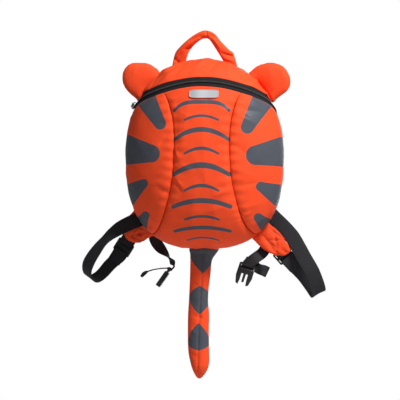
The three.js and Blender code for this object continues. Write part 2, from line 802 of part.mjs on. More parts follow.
// Shoulder webbing: from the pad's end round the bag's edge, down in a loop and back up to the
// ladder-lock. Each row holds across, forward and up as shares, then the way the width runs.
const leftRoute = [
  [-0.78, -0.135, -0.36, 0.6, 0, -0.8],
  [-0.9, -0.11, -0.42, 0.35, 0.2, -0.8],
  [-0.965, -0.05, -0.46, 0.2, 0.5, -0.7],
  [-0.965, 0.03, -0.49, 0.1, 0.9, -0.3],
  [-0.945, 0.11, -0.53, 0.1, 0.85, -0.4],
  [-0.925, 0.17, -0.59, 0.05, 0.95, -0.3],
  [-0.93, 0.195, -0.645, 0.1, 0.8, -0.4],
  [-0.96, 0.22, -0.71, 0.4, 0.1, -0.75],
  [-1.022, 0.232, -0.783, 0.42, -0.55, -0.7],
  [-1.163, 0.295, -0.85, 0.45, -0.65, -0.6],
  [-1.276, 0.305, -0.933, 0.5, -0.8, -0.34],
  [-1.374, 0.284, -1.033, 0.62, -0.7, -0.4],
  [-1.457, 0.242, -1.135, 0.65, -0.6, -0.45],
  [-1.5, 0.179, -1.22, 0.65, -0.6, -0.45],
  [-1.49, 0.095, -1.3, 0.65, -0.6, -0.45],
  [-1.43, 0.03, -1.33, 0.65, -0.6, -0.45],
  [-1.34, -0.01, -1.29, 0.66, -0.6, -0.45],
  [-1.22, -0.03, -1.18, 0.7, -0.5, -0.45],
];
const rightRoute = [
  [0.72, -0.14, -0.38, -0.8, 0, -0.5],
  [0.84, -0.115, -0.53, -0.5, 0, -0.85],
  [0.925, -0.035, -0.64, -0.45, 0, -0.87],
  [0.95, 0.06, -0.72, -0.5, 0, -0.85],
  [1.02, 0.12, -0.8, -0.66, 0, -0.75],
  [1.16, 0.14, -0.983, -0.85, 0, -0.52],
  [1.3, 0.14, -1.17, -0.87, 0, -0.49],
  [1.393, 0.116, -1.342, -0.87, 0, -0.49],
  [1.43, 0.053, -1.465, -0.87, 0, -0.49],
  [1.41, -0.016, -1.48, -0.87, 0, -0.49],
  [1.34, -0.05, -1.4, -0.85, 0, -0.5],
  [1.23, -0.055, -1.28, -0.8, 0, -0.6],
];

function shoulderWebbing(name, pad, route, lock, steps) {
  const outward = vector(Math.sign(route[0][3]), 0, 0);
  const stops = [pieceGap + 0.1, 6].map((ahead) => {
    return [pad.end.clone().addScaledVector(pad.run, ahead), outward];
  });
  for (const [across, forward, up, x, y, z] of route) {
    stops.push([bagPoint(across, forward, up), vector(x, y, z)]);
  }
  stops.push(...lockTurn(lock, 1, [6, 16]));
  addPiece(name, webbing(stops, webWidth, webThickness, steps), cloth(black));
}

shoulderWebbing('shoulder_webbing_left', leftPad, leftRoute, leftLock, 66);
shoulderWebbing('shoulder_webbing_right', rightPad, rightRoute, rightLock, 58);

// Chest buckle halves: u runs from the webbing bar to the mouth or the prongs.
const bucklePlateLength = 9;
const buckleBar = 2.4;
const buckleSlot = 4.2;

function buckleHalf(name, frame, outline, thickness) {
  const half = buckleWidth / 2;
  const plateShape = new THREE.Shape([[0, 1.5 - half], [1.5, -half], [bucklePlateLength, -half],
    [bucklePlateLength, half], [1.5, half], [0, half - 1.5]].map(([u, w]) => new THREE.Vector2(u, w)));
  const mirrored = [...outline].reverse().map(([u, w]) => [u, -w]);
  const bodyShape = new THREE.Shape([...outline, ...mirrored].map(([u, w]) => {
    return new THREE.Vector2(u * buckleLength, w * half);
  }));
  const solid = solidOf(plate(plateShape, bucklePlate, frame))
    .subtract(slotBlock(frame, buckleBar, buckleBar + buckleSlot, chestWebWidth + 1.2, bucklePlate))
    .add(solidOf(plate(bodyShape, thickness, frame)));
  addPiece(name, geometryOf(solid), plastic(black));
}

// Half outlines as shares of the buckle's length and half width.
const socketOutline = [[0.25, -0.8], [0.55, -0.95], [1, -1]];
const plugOutline = [[0.25, -1], [0.6, -1.02], [0.94, -0.8], [1, -0.5], [0.8, -0.42], [0.48, -0.4],
  [0.48, -0.16], [0.86, -0.14]];

const socketFrame = frameFrom(bagPoint(-0.445, 0.03, -1.21), vector(-0.57, 0, -0.82), vector(0, 1, 0));
const plugFrame = frameFrom(bagPoint(0.534, 0.01, -1.17), vector(-0.3, 0, -0.95), vector(0.95, 0, -0.3));
buckleHalf('buckle_socket', socketFrame, socketOutline, buckleThickness);
buckleHalf('buckle_plug', plugFrame, plugOutline, buckleThickness * 0.8);

// Stops for a chest strap that reaches the buckle on one face of its bar and leaves on the other.
function slotTurn(frame) {
  return barTurn(frame, buckleBar / 2, buckleBar / 2, bucklePlate, chestWebThickness, -1);
}

const chestLift = pieceGap + chestWebThickness / 2;
const leftChest = [
  [rearPoint(-0.57, -0.64, chestLift), vector(0.9, 0, 0.3)],
  [rearPoint(-0.63, -0.79, chestLift + 0.8), vector(0.9, 0, -0.1)],
  [bagPoint(-0.66, -0.075, -0.9), vector(0.85, 0, 0.35)],
  [bagPoint(-0.58, -0.03, -1.01), vector(0.75, 0.3, 0.55)],
  [bagPoint(-0.48, 0.02, -1.1), vector(0.4, 0.75, 0.3)],
  [socketFrame.point(-4, 0, 2.6), vector(0, 1, 0)],
  ...slotTurn(socketFrame).reverse(),
  [bagPoint(-0.56, 0.03, -1.235), vector(0, 1, 0)],
  [bagPoint(-0.67, 0.03, -1.25), vector(0, 1, 0)],
  [bagPoint(-0.76, 0.03, -1.26), vector(0, 1, 0)],
];
addPiece('chest_strap_left', webbing(leftChest, chestWebWidth, chestWebThickness, 42), cloth(black));

const rightChest = [
  [rearPoint(0.68, -0.66, chestLift), vector(-0.9, 0, 0.1)],
  [rearPoint(0.74, -0.82, chestLift + 1.5), vector(-0.9, 0, 0.1)],
  [bagPoint(0.765, -0.09, -0.96), vector(-0.9, 0, 0.3)],
  [bagPoint(0.72, -0.045, -1.05), vector(-0.62, 0, 0.8)],
  [bagPoint(0.63, 0.04, -1.11), vector(-0.7, 0, 0.6)],
  ...slotTurn(plugFrame).reverse().map(([point]) => [point, plugFrame.w.clone().negate()]),
  [bagPoint(0.58, -0.05, -1.13), vector(-0.9, 0, 0.43)],
  [bagPoint(0.63, -0.095, -1.1), vector(-0.6, 0.6, 0.5)],
  [bagPoint(0.685, -0.115, -1.125), vector(-0.3, 0.8, 0)],
  [bagPoint(0.72, -0.105, -1.18), vector(-0.8, 0.5, -0.1)],
  [bagPoint(0.755, -0.09, -1.27), vector(-0.95, 0.2, -0.25)],
];
addPiece('chest_strap_right', webbing(rightChest, chestWebWidth, chestWebThickness, 40), cloth(black));

export default group;
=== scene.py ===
import math
from contextlib import contextmanager

import bmesh
import bpy
import numpy as np
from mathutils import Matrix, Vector


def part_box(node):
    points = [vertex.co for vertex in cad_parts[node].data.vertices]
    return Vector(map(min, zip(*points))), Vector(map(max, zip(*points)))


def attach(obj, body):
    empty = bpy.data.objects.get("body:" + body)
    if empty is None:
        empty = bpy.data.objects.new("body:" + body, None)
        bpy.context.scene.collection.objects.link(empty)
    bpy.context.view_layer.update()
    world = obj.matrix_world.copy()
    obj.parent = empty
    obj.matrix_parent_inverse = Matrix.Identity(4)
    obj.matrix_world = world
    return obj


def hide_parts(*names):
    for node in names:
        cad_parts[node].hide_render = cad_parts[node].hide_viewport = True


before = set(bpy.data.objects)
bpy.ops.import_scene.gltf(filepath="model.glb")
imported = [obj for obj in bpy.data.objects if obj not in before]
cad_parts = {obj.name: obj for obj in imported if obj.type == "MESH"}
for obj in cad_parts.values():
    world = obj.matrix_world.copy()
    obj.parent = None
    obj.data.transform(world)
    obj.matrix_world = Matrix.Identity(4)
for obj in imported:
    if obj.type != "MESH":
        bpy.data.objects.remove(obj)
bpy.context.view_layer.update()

# Bag front: three panels of woven polyester cut as a waisted centre and two cheeks, sewn right
# sides together so that each seam pulls in, and sewn into the back panel all round. Dark stripes
# are printed on the cloth before it is cut.
MM = 0.001
HALF_WIDTH = 105 * MM
BAG_DEPTH = 95 * MM
UPPER_REACH = 123 * MM
LOWER_REACH = 127 * MM
BAG_CENTRE_Z = -150 * MM
LOWER_SQUARENESS = 2.7
SIDE_ROUNDING = 0.85
FRONT_ROUNDING = 0.8
RIM_TURN = math.radians(108)
REAR_GAP = 0.32 * MM


def outline_reach(angle):
    """Distance from the bag's centre to its front outline."""
    up = np.sin(angle) > 0
    power = np.where(up, 2.0, LOWER_SQUARENESS)
    reach = np.where(up, UPPER_REACH, LOWER_REACH)
    across = np.abs(np.cos(angle)) / HALF_WIDTH
    along = np.abs(np.sin(angle)) / reach
    return (across ** power + along ** power) ** (-1 / power)


def signed_power(value, power):
    return np.sign(value) * np.abs(value) ** power


def rise_share(turn):
    return signed_power(np.cos(turn), FRONT_ROUNDING)


def dome_point(x, y):
    """Place on the dome of a point of the cloth laid flat, x and y from the bag's centre."""
    angle = np.arctan2(y, x)
    reach = outline_reach(angle)
    turn = math.pi / 2 * np.hypot(x, y) / reach
    radius = reach * np.sin(turn) ** SIDE_ROUNDING
    rise = (rise_share(turn) - rise_share(RIM_TURN)) / (1 - rise_share(RIM_TURN))
    depth = -BAG_DEPTH * rise - REAR_GAP
    return np.stack([radius * np.cos(angle), depth, BAG_CENTRE_Z + radius * np.sin(angle)], axis=-1)


def unit(vectors):
    return vectors / np.linalg.norm(vectors, axis=-1, keepdims=True)


def dome_normal(x, y):
    step = 0.5 * MM
    return unit(np.cross(dome_point(x + step, y) - dome_point(x - step, y),
                         dome_point(x, y + step) - dome_point(x, y - step)))


def border_point(angle):
    """Point of the flat cloth that is sewn to the back panel at an angle round the bag."""
    length = outline_reach(angle) * RIM_TURN / (math.pi / 2)
    return length * np.cos(angle), length * np.sin(angle)


# The two long seams run in to a waist and out again at the hip, and the zip lies in a shallow arch
# across the top.
SEAM_WAIST = 19.6 * MM
SEAM_FLARE_UP = 5.5
SEAM_FLARE_DOWN = 4.2
SEAM_HIP = 1.8 * MM
SEAM_HIP_HEIGHT = -45 * MM
SEAM_HIP_SPREAD = 30 * MM
ZIP_HALF = 6.7 * MM
ZIP_RISE = 62 * MM
ZIP_SAG = 3 * MM
ZIP_SAG_SPAN = 92 * MM
ZIP_DIP = 1.4 * MM
ZIP_DIP_ACROSS = 42 * MM
ZIP_DIP_SPREAD = 22 * MM


def hill(distance, width):
    """Soft rise to 1 where the distance is nothing."""
    return np.exp(-(distance / width) ** 2)


def seam_x(y):
    hip = SEAM_HIP * hill(y - SEAM_HIP_HEIGHT, SEAM_HIP_SPREAD)
    return SEAM_WAIST + hip + np.where(y > 0, SEAM_FLARE_UP, SEAM_FLARE_DOWN) * y * y


def zip_y(x):
    dip = ZIP_DIP * hill(np.abs(x) - ZIP_DIP_ACROSS, ZIP_DIP_SPREAD)
    return ZIP_RISE - ZIP_SAG * (x / ZIP_SAG_SPAN) ** 2 - dip


def crossing(low, high, value_at):
    """Where a steadily changing value passes zero."""
    rising = value_at(high) > value_at(low)
    for _ in range(50):
        middle = (low + high) / 2
        if (value_at(middle) > 0) == rising:
            high = middle
        else:
            low = middle
    return (low + high) / 2


def seam_foot_angle(offset):
    return crossing(-math.pi / 2, -math.pi / 6,
                    lambda a: border_point(a)[0] - seam_x(border_point(a)[1]) - offset)


def zip_end_angle(offset):
    return crossing(0, math.pi / 3,
                    lambda a: border_point(a)[1] - zip_y(border_point(a)[0]) - offset)


def seam_top_y(seam_offset, zip_offset):
    return crossing(ZIP_RISE / 2, ZIP_RISE * 1.2,
                    lambda y: y - zip_y(seam_x(y) + seam_offset) - zip_offset)


def patch(bottom, top, left, right, u, v):
    """Flat patch between four edges, each a function of a share from 0 to 1."""
    def blend(axis):
        edges = bottom(u)[axis] * (1 - v) + top(u)[axis] * v
        edges = edges + left(v)[axis] * (1 - u) + right(v)[axis] * u
        corners = bottom(0)[axis] * (1 - u) * (1 - v) + bottom(1)[axis] * u * (1 - v)
        return edges - corners - top(0)[axis] * (1 - u) * v - top(1)[axis] * u * v
    return blend(0), blend(1)


def seam_edge(foot_y, top_y, side_sign, gap):
    """Edge of a panel along a seam, a gap away from it."""
    def at(share):
        y = foot_y + (top_y - foot_y) * share
        return side_sign * (seam_x(y) + gap), y
    return at


def zip_edge(start_x, end_x):
    """Edge of a panel along the zip."""
    def at(share):
        x = start_x + (end_x - start_x) * share
        return x, zip_y(x) - ZIP_HALF
    return at


def rim_edge(start, end):
    """Edge of a panel along the back panel, between two angles."""
    return lambda share: border_point(start + (end - start) * share)


RIPPLE_SEED = 7
RIPPLE_WAVES = 14
RIPPLE_HEIGHT = 0.22 * MM
RIPPLE_LENGTHS = (16 * MM, 46 * MM)


def ripples(points):
    """Gentle unevenness of hanging cloth, the same each time."""
    random = np.random.default_rng(RIPPLE_SEED)
    total = np.zeros(points.shape[:-1])
    for _ in range(RIPPLE_WAVES):
        direction = unit(random.normal(size=3)) * 2 * math.pi / random.uniform(*RIPPLE_LENGTHS)
        total += np.sin(points @ direction + random.uniform(0, 2 * math.pi))
    return RIPPLE_HEIGHT * total / math.sqrt(RIPPLE_WAVES)


CREASE_ROUNDING = 0.6 * MM
CREASE_END = 0.12
CREASE_SPREAD = 0.75


def fold_lift(x, y, folds):
    """Height of a few drawn folds: each runs between two points and dies off to both sides."""
    total = np.zeros(np.shape(x))
    for x0, y0, x1, y1, width, height in np.array(folds) * MM:
        along = ((x - x0) * (x1 - x0) + (y - y0) * (y1 - y0)) / ((x1 - x0) ** 2 + (y1 - y0) ** 2)
        share = np.clip(along, 0, 1)
        distance = np.hypot(x - x0 - share * (x1 - x0), y - y0 - share * (y1 - y0))
        taper = np.sin(math.pi * (CREASE_END + (1 - 2 * CREASE_END) * share))
        softened = np.hypot(distance, CREASE_ROUNDING) - CREASE_ROUNDING
        total += height * taper * np.exp(-softened / (CREASE_SPREAD * width))
    return total


def small_creases(seed, count, low, high, height):
    """Rows of short drawn folds strewn over a part of the flat cloth, in mm, the same for one seed."""
    random = np.random.default_rng(seed)
    rows = []
    for _ in range(count):
        x, y = random.uniform(low, high)
        slope = random.normal(0.3, 0.9)
        length = random.uniform(10, 30)
        rows.append((x, y, x + length * math.cos(slope), y + length * math.sin(slope),
                     random.uniform(2, 4.5), random.uniform(-height, height)))
    return rows


SEAM_DEPTH = 1.7 * MM
SEAM_SPREAD = 3.6 * MM
SEAM_NOTCH = 1.5 * MM
SEAM_NOTCH_WIDTH = 0.9 * MM
SEAM_FADE = 12 * MM
SEAM_LEAST = 0.12
PUCKER_HEIGHT = 0.55 * MM
PUCKER_BESIDE = 3 * MM
PUCKER_REACH = 6 * MM
PUCKER_PITCH = 8 * MM
PUCKER_FADE_START = 90 * MM
PUCKER_FADE = 70 * MM
PUCKER_LEAST = 0.25


def seam_lift(x, y):
    """Drop of the cloth into the two long seams, with the small puckers that the thread draws."""
    distance = np.abs(np.abs(x) - seam_x(y))
    below = np.clip((zip_y(x) - ZIP_HALF - y) / SEAM_FADE, SEAM_LEAST, 1)
    roll = SEAM_DEPTH * hill(distance, SEAM_SPREAD)
    notch = SEAM_NOTCH * hill(distance, SEAM_NOTCH_WIDTH)
    waver = np.sin(2 * math.pi * y / PUCKER_PITCH + 1.7 * np.sin(y * 90) + np.sign(x))
    drawn = PUCKER_HEIGHT * np.clip((y + PUCKER_FADE_START) / PUCKER_FADE, PUCKER_LEAST, 1)
    pucker = drawn * waver * hill(distance - PUCKER_BESIDE, PUCKER_REACH)
    return below * (pucker - roll - notch)


def sheet_piece(name, points, material, uv=None, thickness=0.0, closed_round=False):
    """Grid of points as a cloth piece, its rows running up; a thickness is added inward."""
    rows, columns = points.shape[:2]
    faces = []
    span = columns if closed_round else columns - 1
    for row in range(rows - 1):
        for column in range(span):
            beside = (column + 1) % columns
            faces.append((row * columns + column, row * columns + beside,
                          (row + 1) * columns + beside, (row + 1) * columns + column))
    return mesh_piece(name, points.reshape(-1, 3), faces, material, uv, thickness)


def mesh_piece(name, points, faces, material, uv=None, thickness=0.0):
    mesh = bpy.data.meshes.new(name)
    mesh.from_pydata([tuple(p) for p in points], [], faces)
    mesh.polygons.foreach_set("use_smooth", [True] * len(mesh.polygons))
    if uv is not None:
        corners = np.empty(len(mesh.loops), dtype=np.int32)
        mesh.loops.foreach_get("vertex_index", corners)
        layer = mesh.uv_layers.new(name="cloth")
        layer.uv.foreach_set("vector", uv.reshape(-1, 2)[corners].astype(np.float32).ravel())
    mesh.materials.append(material)
    piece = bpy.data.objects.new(name, mesh)
    bpy.context.scene.collection.objects.link(piece)
    if thickness:
        wall = piece.modifiers.new("wall", "SOLIDIFY")
        wall.thickness = thickness
        wall.offset = -1
    return piece


def feed(tree, place, value):
    """Gives a node's input a link to another node, or a constant."""
    source = value.socket if isinstance(value, Amount) else value
    if isinstance(source, bpy.types.NodeSocket):
        tree.links.new(source, place)
    else:
        place.default_value = source


def new_node(tree, kind, inputs=None, **settings):
    """Node with its settings, its inputs fed by name or place."""
    node = tree.nodes.new(kind)
    for label, value in settings.items():
        setattr(node, label, value)
    for label, value in (inputs or {}).items():
        feed(tree, node.inputs[label], value)
    return node


class Amount:
    """A value in a node tree, so that sums and products of it are written as usual."""

    def __init__(self, tree, socket):
        self.tree, self.socket = tree, socket

    def math(self, operation, *values):
        inputs = dict(enumerate((self, *values)))
        node = new_node(self.tree, "ShaderNodeMath", inputs, operation=operation)
        return Amount(self.tree, node.outputs[0])

    def __add__(self, other):
        return self.math("ADD", other)

    def __sub__(self, other):
        return self.math("SUBTRACT", other)

    def __mul__(self, other):
        return self.math("MULTIPLY", other)

    def __truediv__(self, other):
        return self.math("DIVIDE", other)

    def __pow__(self, other):
        return self.math("POWER", other)

    def __abs__(self):
        return self.math("ABSOLUTE")


def new_group(name, vectors, amounts, outputs):
    """Shader node group with named sockets; returned with its inputs and its output places."""
    group = bpy.data.node_groups.new(name, "ShaderNodeTree")
    for way, kind, labels in (("INPUT", "Vector", vectors), ("INPUT", "Float", amounts),
                              ("OUTPUT", "Float", outputs)):
        for label in labels:
            group.interface.new_socket(label, in_out=way, socket_type=f"NodeSocket{kind}")
    given = {socket.name: Amount(group, socket) for socket in new_node(group, "NodeGroupInput").outputs}
    return group, given, new_node(group, "NodeGroupOutput").inputs


def use_group(tree, group, values):
    node = new_node(tree, "ShaderNodeGroup", values, node_tree=group)
    return {socket.name: Amount(tree, socket) for socket in node.outputs}


def object_place(tree):
    return new_node(tree, "ShaderNodeTexCoord").outputs["Object"]


def split(tree, vector):
    return [Amount(tree, part) for part in new_node(tree, "ShaderNodeSeparateXYZ", {0: vector}).outputs]


def scaled(tree, vector, factor):
    node = new_node(tree, "ShaderNodeVectorMath", {0: vector, "Scale": factor}, operation="SCALE")
    return node.outputs[0]


def noise(tree, place, scale, detail):
    node = new_node(tree, "ShaderNodeTexNoise", {"Vector": place, "Scale": scale, "Detail": detail})
    return Amount(tree, node.outputs["Fac"])


def ramp(tree, value, low, high):
    """Smooth step of a value between two limits."""
    node = new_node(tree, "ShaderNodeMapRange", {"Value": value, "From Min": low, "From Max": high},
                    interpolation_type="SMOOTHSTEP")
    return Amount(tree, node.outputs["Result"])


def mixed(tree, share, first, second):
    node = new_node(tree, "ShaderNodeMix", {"Factor": share, "A": first, "B": second}, data_type="RGBA")
    return node.outputs["Result"]


# Plain weave: threads over and under each other, with thicker threads here and there and a slow
# drift of tone through the cloth.
SLUB_SCALE = 900
DRIFT_SCALE = 28
weave, given, put_out = new_group("plain weave", ["Cloth"], ["Thread", "Drift"], ["Height", "Tone"])
threads = [(part / given["Thread"] * (2 * math.pi)).math("SINE")
           for part in split(weave, given["Cloth"])]
warp_weft = (threads[0] + threads[1]) * threads[2]
slubs = noise(weave, given["Cloth"], SLUB_SCALE, 2)
feed(weave, put_out["Height"], warp_weft + threads[0] * threads[1] + slubs)
drift = noise(weave, given["Cloth"], DRIFT_SCALE, 3)
feed(weave, put_out["Tone"], (drift - 0.5) * given["Drift"] + 1.0)

# Curved stripe: a band with round ends that droops towards them and thins along its length. All
# prints are drawn in mm, with a slightly soft edge.
PRINT_EDGE = 0.2
arc, given, put_out = new_group("curved stripe", ["Place"],
                                ["Height", "Drop", "Half", "Middle", "Tip", "Bow"], ["Mask"])
side, _, height = split(arc, given["Place"])
reach = abs(side).math("MINIMUM", given["Half"])
share = reach / given["Half"]
past = abs(side) - reach
above = height + share ** given["Bow"] * given["Drop"] - given["Height"]
distance = (past ** 2.0 + above ** 2.0).math("SQRT")
half_here = given["Middle"] - share ** 2.0 * (given["Middle"] - given["Tip"])
feed(arc, put_out["Mask"], ramp(arc, half_here - distance, -PRINT_EDGE, PRINT_EDGE))

# Wedge stripe: a round-nosed taper between two circles.
wedge, given, put_out = new_group("wedge stripe", ["Place", "Broad end", "Nose"],
                                  ["Broad radius", "Nose radius"], ["Mask"])
place_x, _, place_z = split(wedge, given["Place"])
broad_x, _, broad_z = split(wedge, given["Broad end"])
nose_x, _, nose_z = split(wedge, given["Nose"])
run_x, run_z = nose_x - broad_x, nose_z - broad_z
off_x, off_z = place_x - broad_x, place_z - broad_z
onto = (off_x * run_x + off_z * run_z) / (run_x * run_x + run_z * run_z)
along = onto.math("MAXIMUM", 0.0).math("MINIMUM", 1.0)
miss_x, miss_z = off_x - along * run_x, off_z - along * run_z
miss = (miss_x * miss_x + miss_z * miss_z).math("SQRT")
radius_here = given["Broad radius"] + along * (given["Nose radius"] - given["Broad radius"])
feed(wedge, put_out["Mask"], ramp(wedge, radius_here - miss, -PRINT_EDGE, PRINT_EDGE))


def prints(group, columns, rows):
    """Mask of several prints of one kind; each row holds the values for the named columns."""
    def masks(tree, place):
        in_mm = scaled(tree, place, 1 / MM)
        total = None
        for row in rows:
            mask = use_group(tree, group, {"Place": in_mm, **dict(zip(columns, row))})["Mask"]
            total = total.math("MAXIMUM", mask) if total else mask
        return total
    return masks


def plain_material(name, colour, roughness, metallic=0.0, specular=0.5):
    material = bpy.data.materials.new(name)
    material.use_nodes = True
    look = {"Base Color": colour, "Roughness": roughness, "Metallic": metallic,
            "Specular IOR Level": specular}
    set_look(material, look)
    return material


def set_look(material, look):
    """Feeds the inputs of a material's shader by name."""
    for label, value in look.items():
        feed(material.node_tree, material.node_tree.nodes["Principled BSDF"].inputs[label], value)


def woven_look(material, woven, shade, bump, strength):
    """Puts the tone and the relief of a weave on a material."""
    tree = material.node_tree
    relief = new_node(tree, "ShaderNodeBump",
                      {"Distance": bump, "Strength": strength, "Height": woven["Height"]})
    set_look(material, {"Base Color": scaled(tree, shade, woven["Tone"]), "Normal": relief.outputs[0]})


ORANGE = (0.87, 0.074, 0.019, 1)
PRINT_GREY = (0.068, 0.075, 0.092, 1)
PRINT_GLOSS = 0.2
PRINT_ROUGHNESS = 0.35
CLOTH_SPECULAR = 0.1


def cloth_material(name, colour, roughness, thread, drift_amount, bump, print_on=None):
    """Woven cloth; print_on adds a printed mask over the plain colour."""
    material = plain_material(name, colour, roughness, specular=CLOTH_SPECULAR)
    tree = material.node_tree
    place = object_place(tree)
    shade = colour[:3]
    if print_on:
        printed = print_on(tree, place)
        shade = mixed(tree, printed, colour, PRINT_GREY)
        set_look(material, {"Coat Weight": printed * PRINT_GLOSS, "Coat Roughness": PRINT_ROUGHNESS})
    woven = use_group(tree, weave, {"Cloth": place, "Thread": thread, "Drift": drift_amount})
    woven_look(material, woven, shade, bump, strength=0.5)
    return material


def shell_cloth(name, print_on=None):
    return cloth_material(name, ORANGE, roughness=0.55, thread=0.7 * MM, drift_amount=0.1,
                          bump=0.08 * MM, print_on=print_on)


# Stripes of the centre panel, from the top, in mm: height, droop at the ends, half length, half
# thickness in the middle and at the tips, and how sharply the ends turn down.
STRIPE_COLUMNS = ("Height", "Drop", "Half", "Middle", "Tip", "Bow")
CENTRE_STRIPES = [
    (-85.0, 11.0, 35.5, 2.7, 2.7, 4),
    (-103.1, 5.6, 22, 1.8, 1.5, 2),
    (-121.2, 12.8, 35, 3.3, 2.9, 2),
    (-146.0, 7.0, 22, 2.3, 1.6, 2),
    (-168.2, 12.3, 36, 3.9, 3.1, 2),
    (-195.0, 6.5, 22, 2.4, 1.7, 2),
    (-214.8, 8.0, 37.5, 3.4, 2.9, 2),
    (-235.5, 4.2, 22, 1.9, 1.6, 2),
    (-250.2, 4.9, 36.5, 2.5, 2.1, 2),
    (-263.5, 3.7, 21, 1.1, 1.0, 2),
]

# Wedges of the side panels, in mm: where the broad end and the nose are, and their radii.
WEDGE_COLUMNS = ("Broad end", "Nose", "Broad radius", "Nose radius")
SIDE_WEDGES = {
    "left": [((-75.5, 0, -80.3), (-55.0, 0, -113.4), 14, 8),
             ((-101.6, 0, -147.9), (-66.8, 0, -152.8), 20.2, 11.8),
             ((-99.3, 0, -206.7), (-77.6, 0, -192.4), 14.4, 6.2),
             ((-88, 0, -252), (-75.8, 0, -234.5), 12.5, 5.6)],
    "right": [((78.5, 0, -83), (60.0, 0, -118.2), 14, 8.6),
              ((105.8, 0, -150.2), (71.2, 0, -155.1), 20.2, 13),
              ((100.8, 0, -208), (77.5, 0, -196.4), 15, 6.6),
              ((90, 0, -256), (73.5, 0, -237.3), 13, 6)],
}

plain_shell = shell_cloth("orange shell")
centre_shell = shell_cloth("orange shell with curved stripes",
                           prints(arc, STRIPE_COLUMNS, CENTRE_STRIPES))
CLOTH_THICKNESS = 1.6 * MM


def cloth_surface(x, y, lift_at, proud=0.0):
    """Points of the finished cloth over the dome, proud of it where a length is given."""
    points = dome_point(x, y)
    return points + dome_normal(x, y) * (lift_at(x, y) + ripples(points) + proud)[..., None]


def panel_piece(name, x, y, lift_at, material, node):
    piece = sheet_piece(name, cloth_surface(x, y, lift_at), material, np.stack([x, y], axis=-1),
                        CLOTH_THICKNESS)
    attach(piece, "root")
    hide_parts(node)
    return piece


def shares(rows, columns):
    v, u = np.meshgrid(np.linspace(0, 1, rows), np.linspace(0, 1, columns), indexing="ij")
    return u, v


# Folds that the photograph shows in the centre panel, in mm on the flat cloth: from, to, how far
# they spread and how high they stand.
CENTRE_FOLDS = [
    (-9, 52, -13, 6, 5, 0.9), (4, 54, 8, -4, 6, -0.8), (15, 46, 13, 12, 4, 0.7),
    (-20, 40, -17, 8, 4, -0.7), (-4, -20, -12, -84, 7, 0.9), (9, -34, 13, -92, 6, 0.8),
    (-19, -70, -30, -128, 6, 1.2), (2, -96, 1, -134, 7, -1.0), (20, -82, 30, -126, 6, 1.2),
    (-9, -112, -13, -140, 5, 1.1), (13, -112, 16, -140, 5, 1.0), (-18, 30, -6, 24, 3, 0.8),
    (-18, -6, -5, -13, 3, 0.9), (18, 8, 6, 2, 3, -0.8), (19, -44, 4, -50, 3.5, 0.9),
    (-24, -60, -8, -54, 3.5, -0.9), (0, 20, 3, -30, 4, 0.7), (19, -29, 9, -34, 2, 1.4),
    (19, -27, 10, -26, 2, -1.1), (-19, -20, -14, -25, 1.7, 1.5), (-19, -24, -15, -31, 1.7, -1.3),
    (-19, 2, -16, -4, 1.6, 1.5),
] + small_creases(3, 46, (-24, -140), (12, 50), 0.42)

CROWN_HEIGHT = 3 * MM
EDGE_GAP = 0.05 * MM
centre_foot = seam_foot_angle(-EDGE_GAP)
centre_top = seam_top_y(-EDGE_GAP, -ZIP_HALF)
centre_foot_y = border_point(centre_foot)[1]


def crown_lift(x, y):
    """The centre panel stands a little fuller than the panels beside it."""
    foot = -LOWER_REACH * RIM_TURN / (math.pi / 2)
    share = np.clip((y - foot) / (zip_y(x) - ZIP_HALF - foot), 0, 1)
    belly = np.sin(math.pi * 0.9 * share) ** 0.8
    return CROWN_HEIGHT * belly * np.maximum(0, 1 - (x / seam_x(y)) ** 2)


def centre_lift(x, y):
    return seam_lift(x, y) + crown_lift(x, y) + fold_lift(x, y, CENTRE_FOLDS)


zip_corner = seam_x(centre_top) - EDGE_GAP
x, y = patch(rim_edge(-math.pi - centre_foot, centre_foot), zip_edge(-zip_corner, zip_corner),
             seam_edge(centre_foot_y, centre_top, -1, -EDGE_GAP),
             seam_edge(centre_foot_y, centre_top, 1, -EDGE_GAP), *shares(210, 90))
panel_piece("centre_panel_cloth", x, y, centre_lift, centre_shell, "centre_panel")

# Folds of the two side panels, in mm on the flat cloth, mostly pulls that run in from the seam.
SIDE_FOLDS = {
    -1: [(-27, 34, -52, 30, 4, 1.0), (-26, 6, -46, 2, 5, 1.0), (-25, -22, -50, -30, 5, 1.1),
         (-34, -70, -58, -62, 7, 1.1), (-44, 50, -60, 36, 4, 1.0), (-58, -92, -78, -84, 7, -1.0),
         (-80, 20, -84, -30, 9, 0.9), (-64, 48, -96, 40, 4, 0.9), (-50, -112, -62, -88, 6, 1.1),
         (-30, 52, -26, 26, 3, 1.4), (-24, 14, -33, 4, 3, -1.5), (-24, -12, -36, -20, 3, 1.4),
         (-25, -34, -38, -28, 3, -1.2)] + small_creases(11, 50, (-110, -110), (-40, 45), 0.5),
    1: [(26, 30, 48, 24, 4, 0.9), (25, -14, 42, -20, 5, 1.2), (30, -48, 58, -50, 6, 1.0),
        (38, -80, 64, -70, 7, 1.2), (46, 50, 62, 34, 4, 1.1), (60, -96, 82, -80, 7, -1.0),
        (82, 16, 84, -34, 9, 0.8), (66, 50, 98, 40, 4, 0.8), (52, -114, 64, -90, 6, 1.1),
        (30, 50, 27, 22, 3, 1.2), (24, 4, 36, -2, 3, -1.2), (26, -28, 52, -27, 3, -1.5),
        (30, -62, 44, -56, 3, 1.2)] + small_creases(12, 50, (24, -110), (84, 45), 0.5),
}

side_foot = seam_foot_angle(EDGE_GAP)
side_foot_y = border_point(side_foot)[1]
side_top = seam_top_y(EDGE_GAP, -ZIP_HALF)
side_end = zip_end_angle(-ZIP_HALF)


def side_lift(side_sign):
    def lift_at(x, y):
        return seam_lift(x, y) + fold_lift(x, y, SIDE_FOLDS[side_sign])
    return lift_at


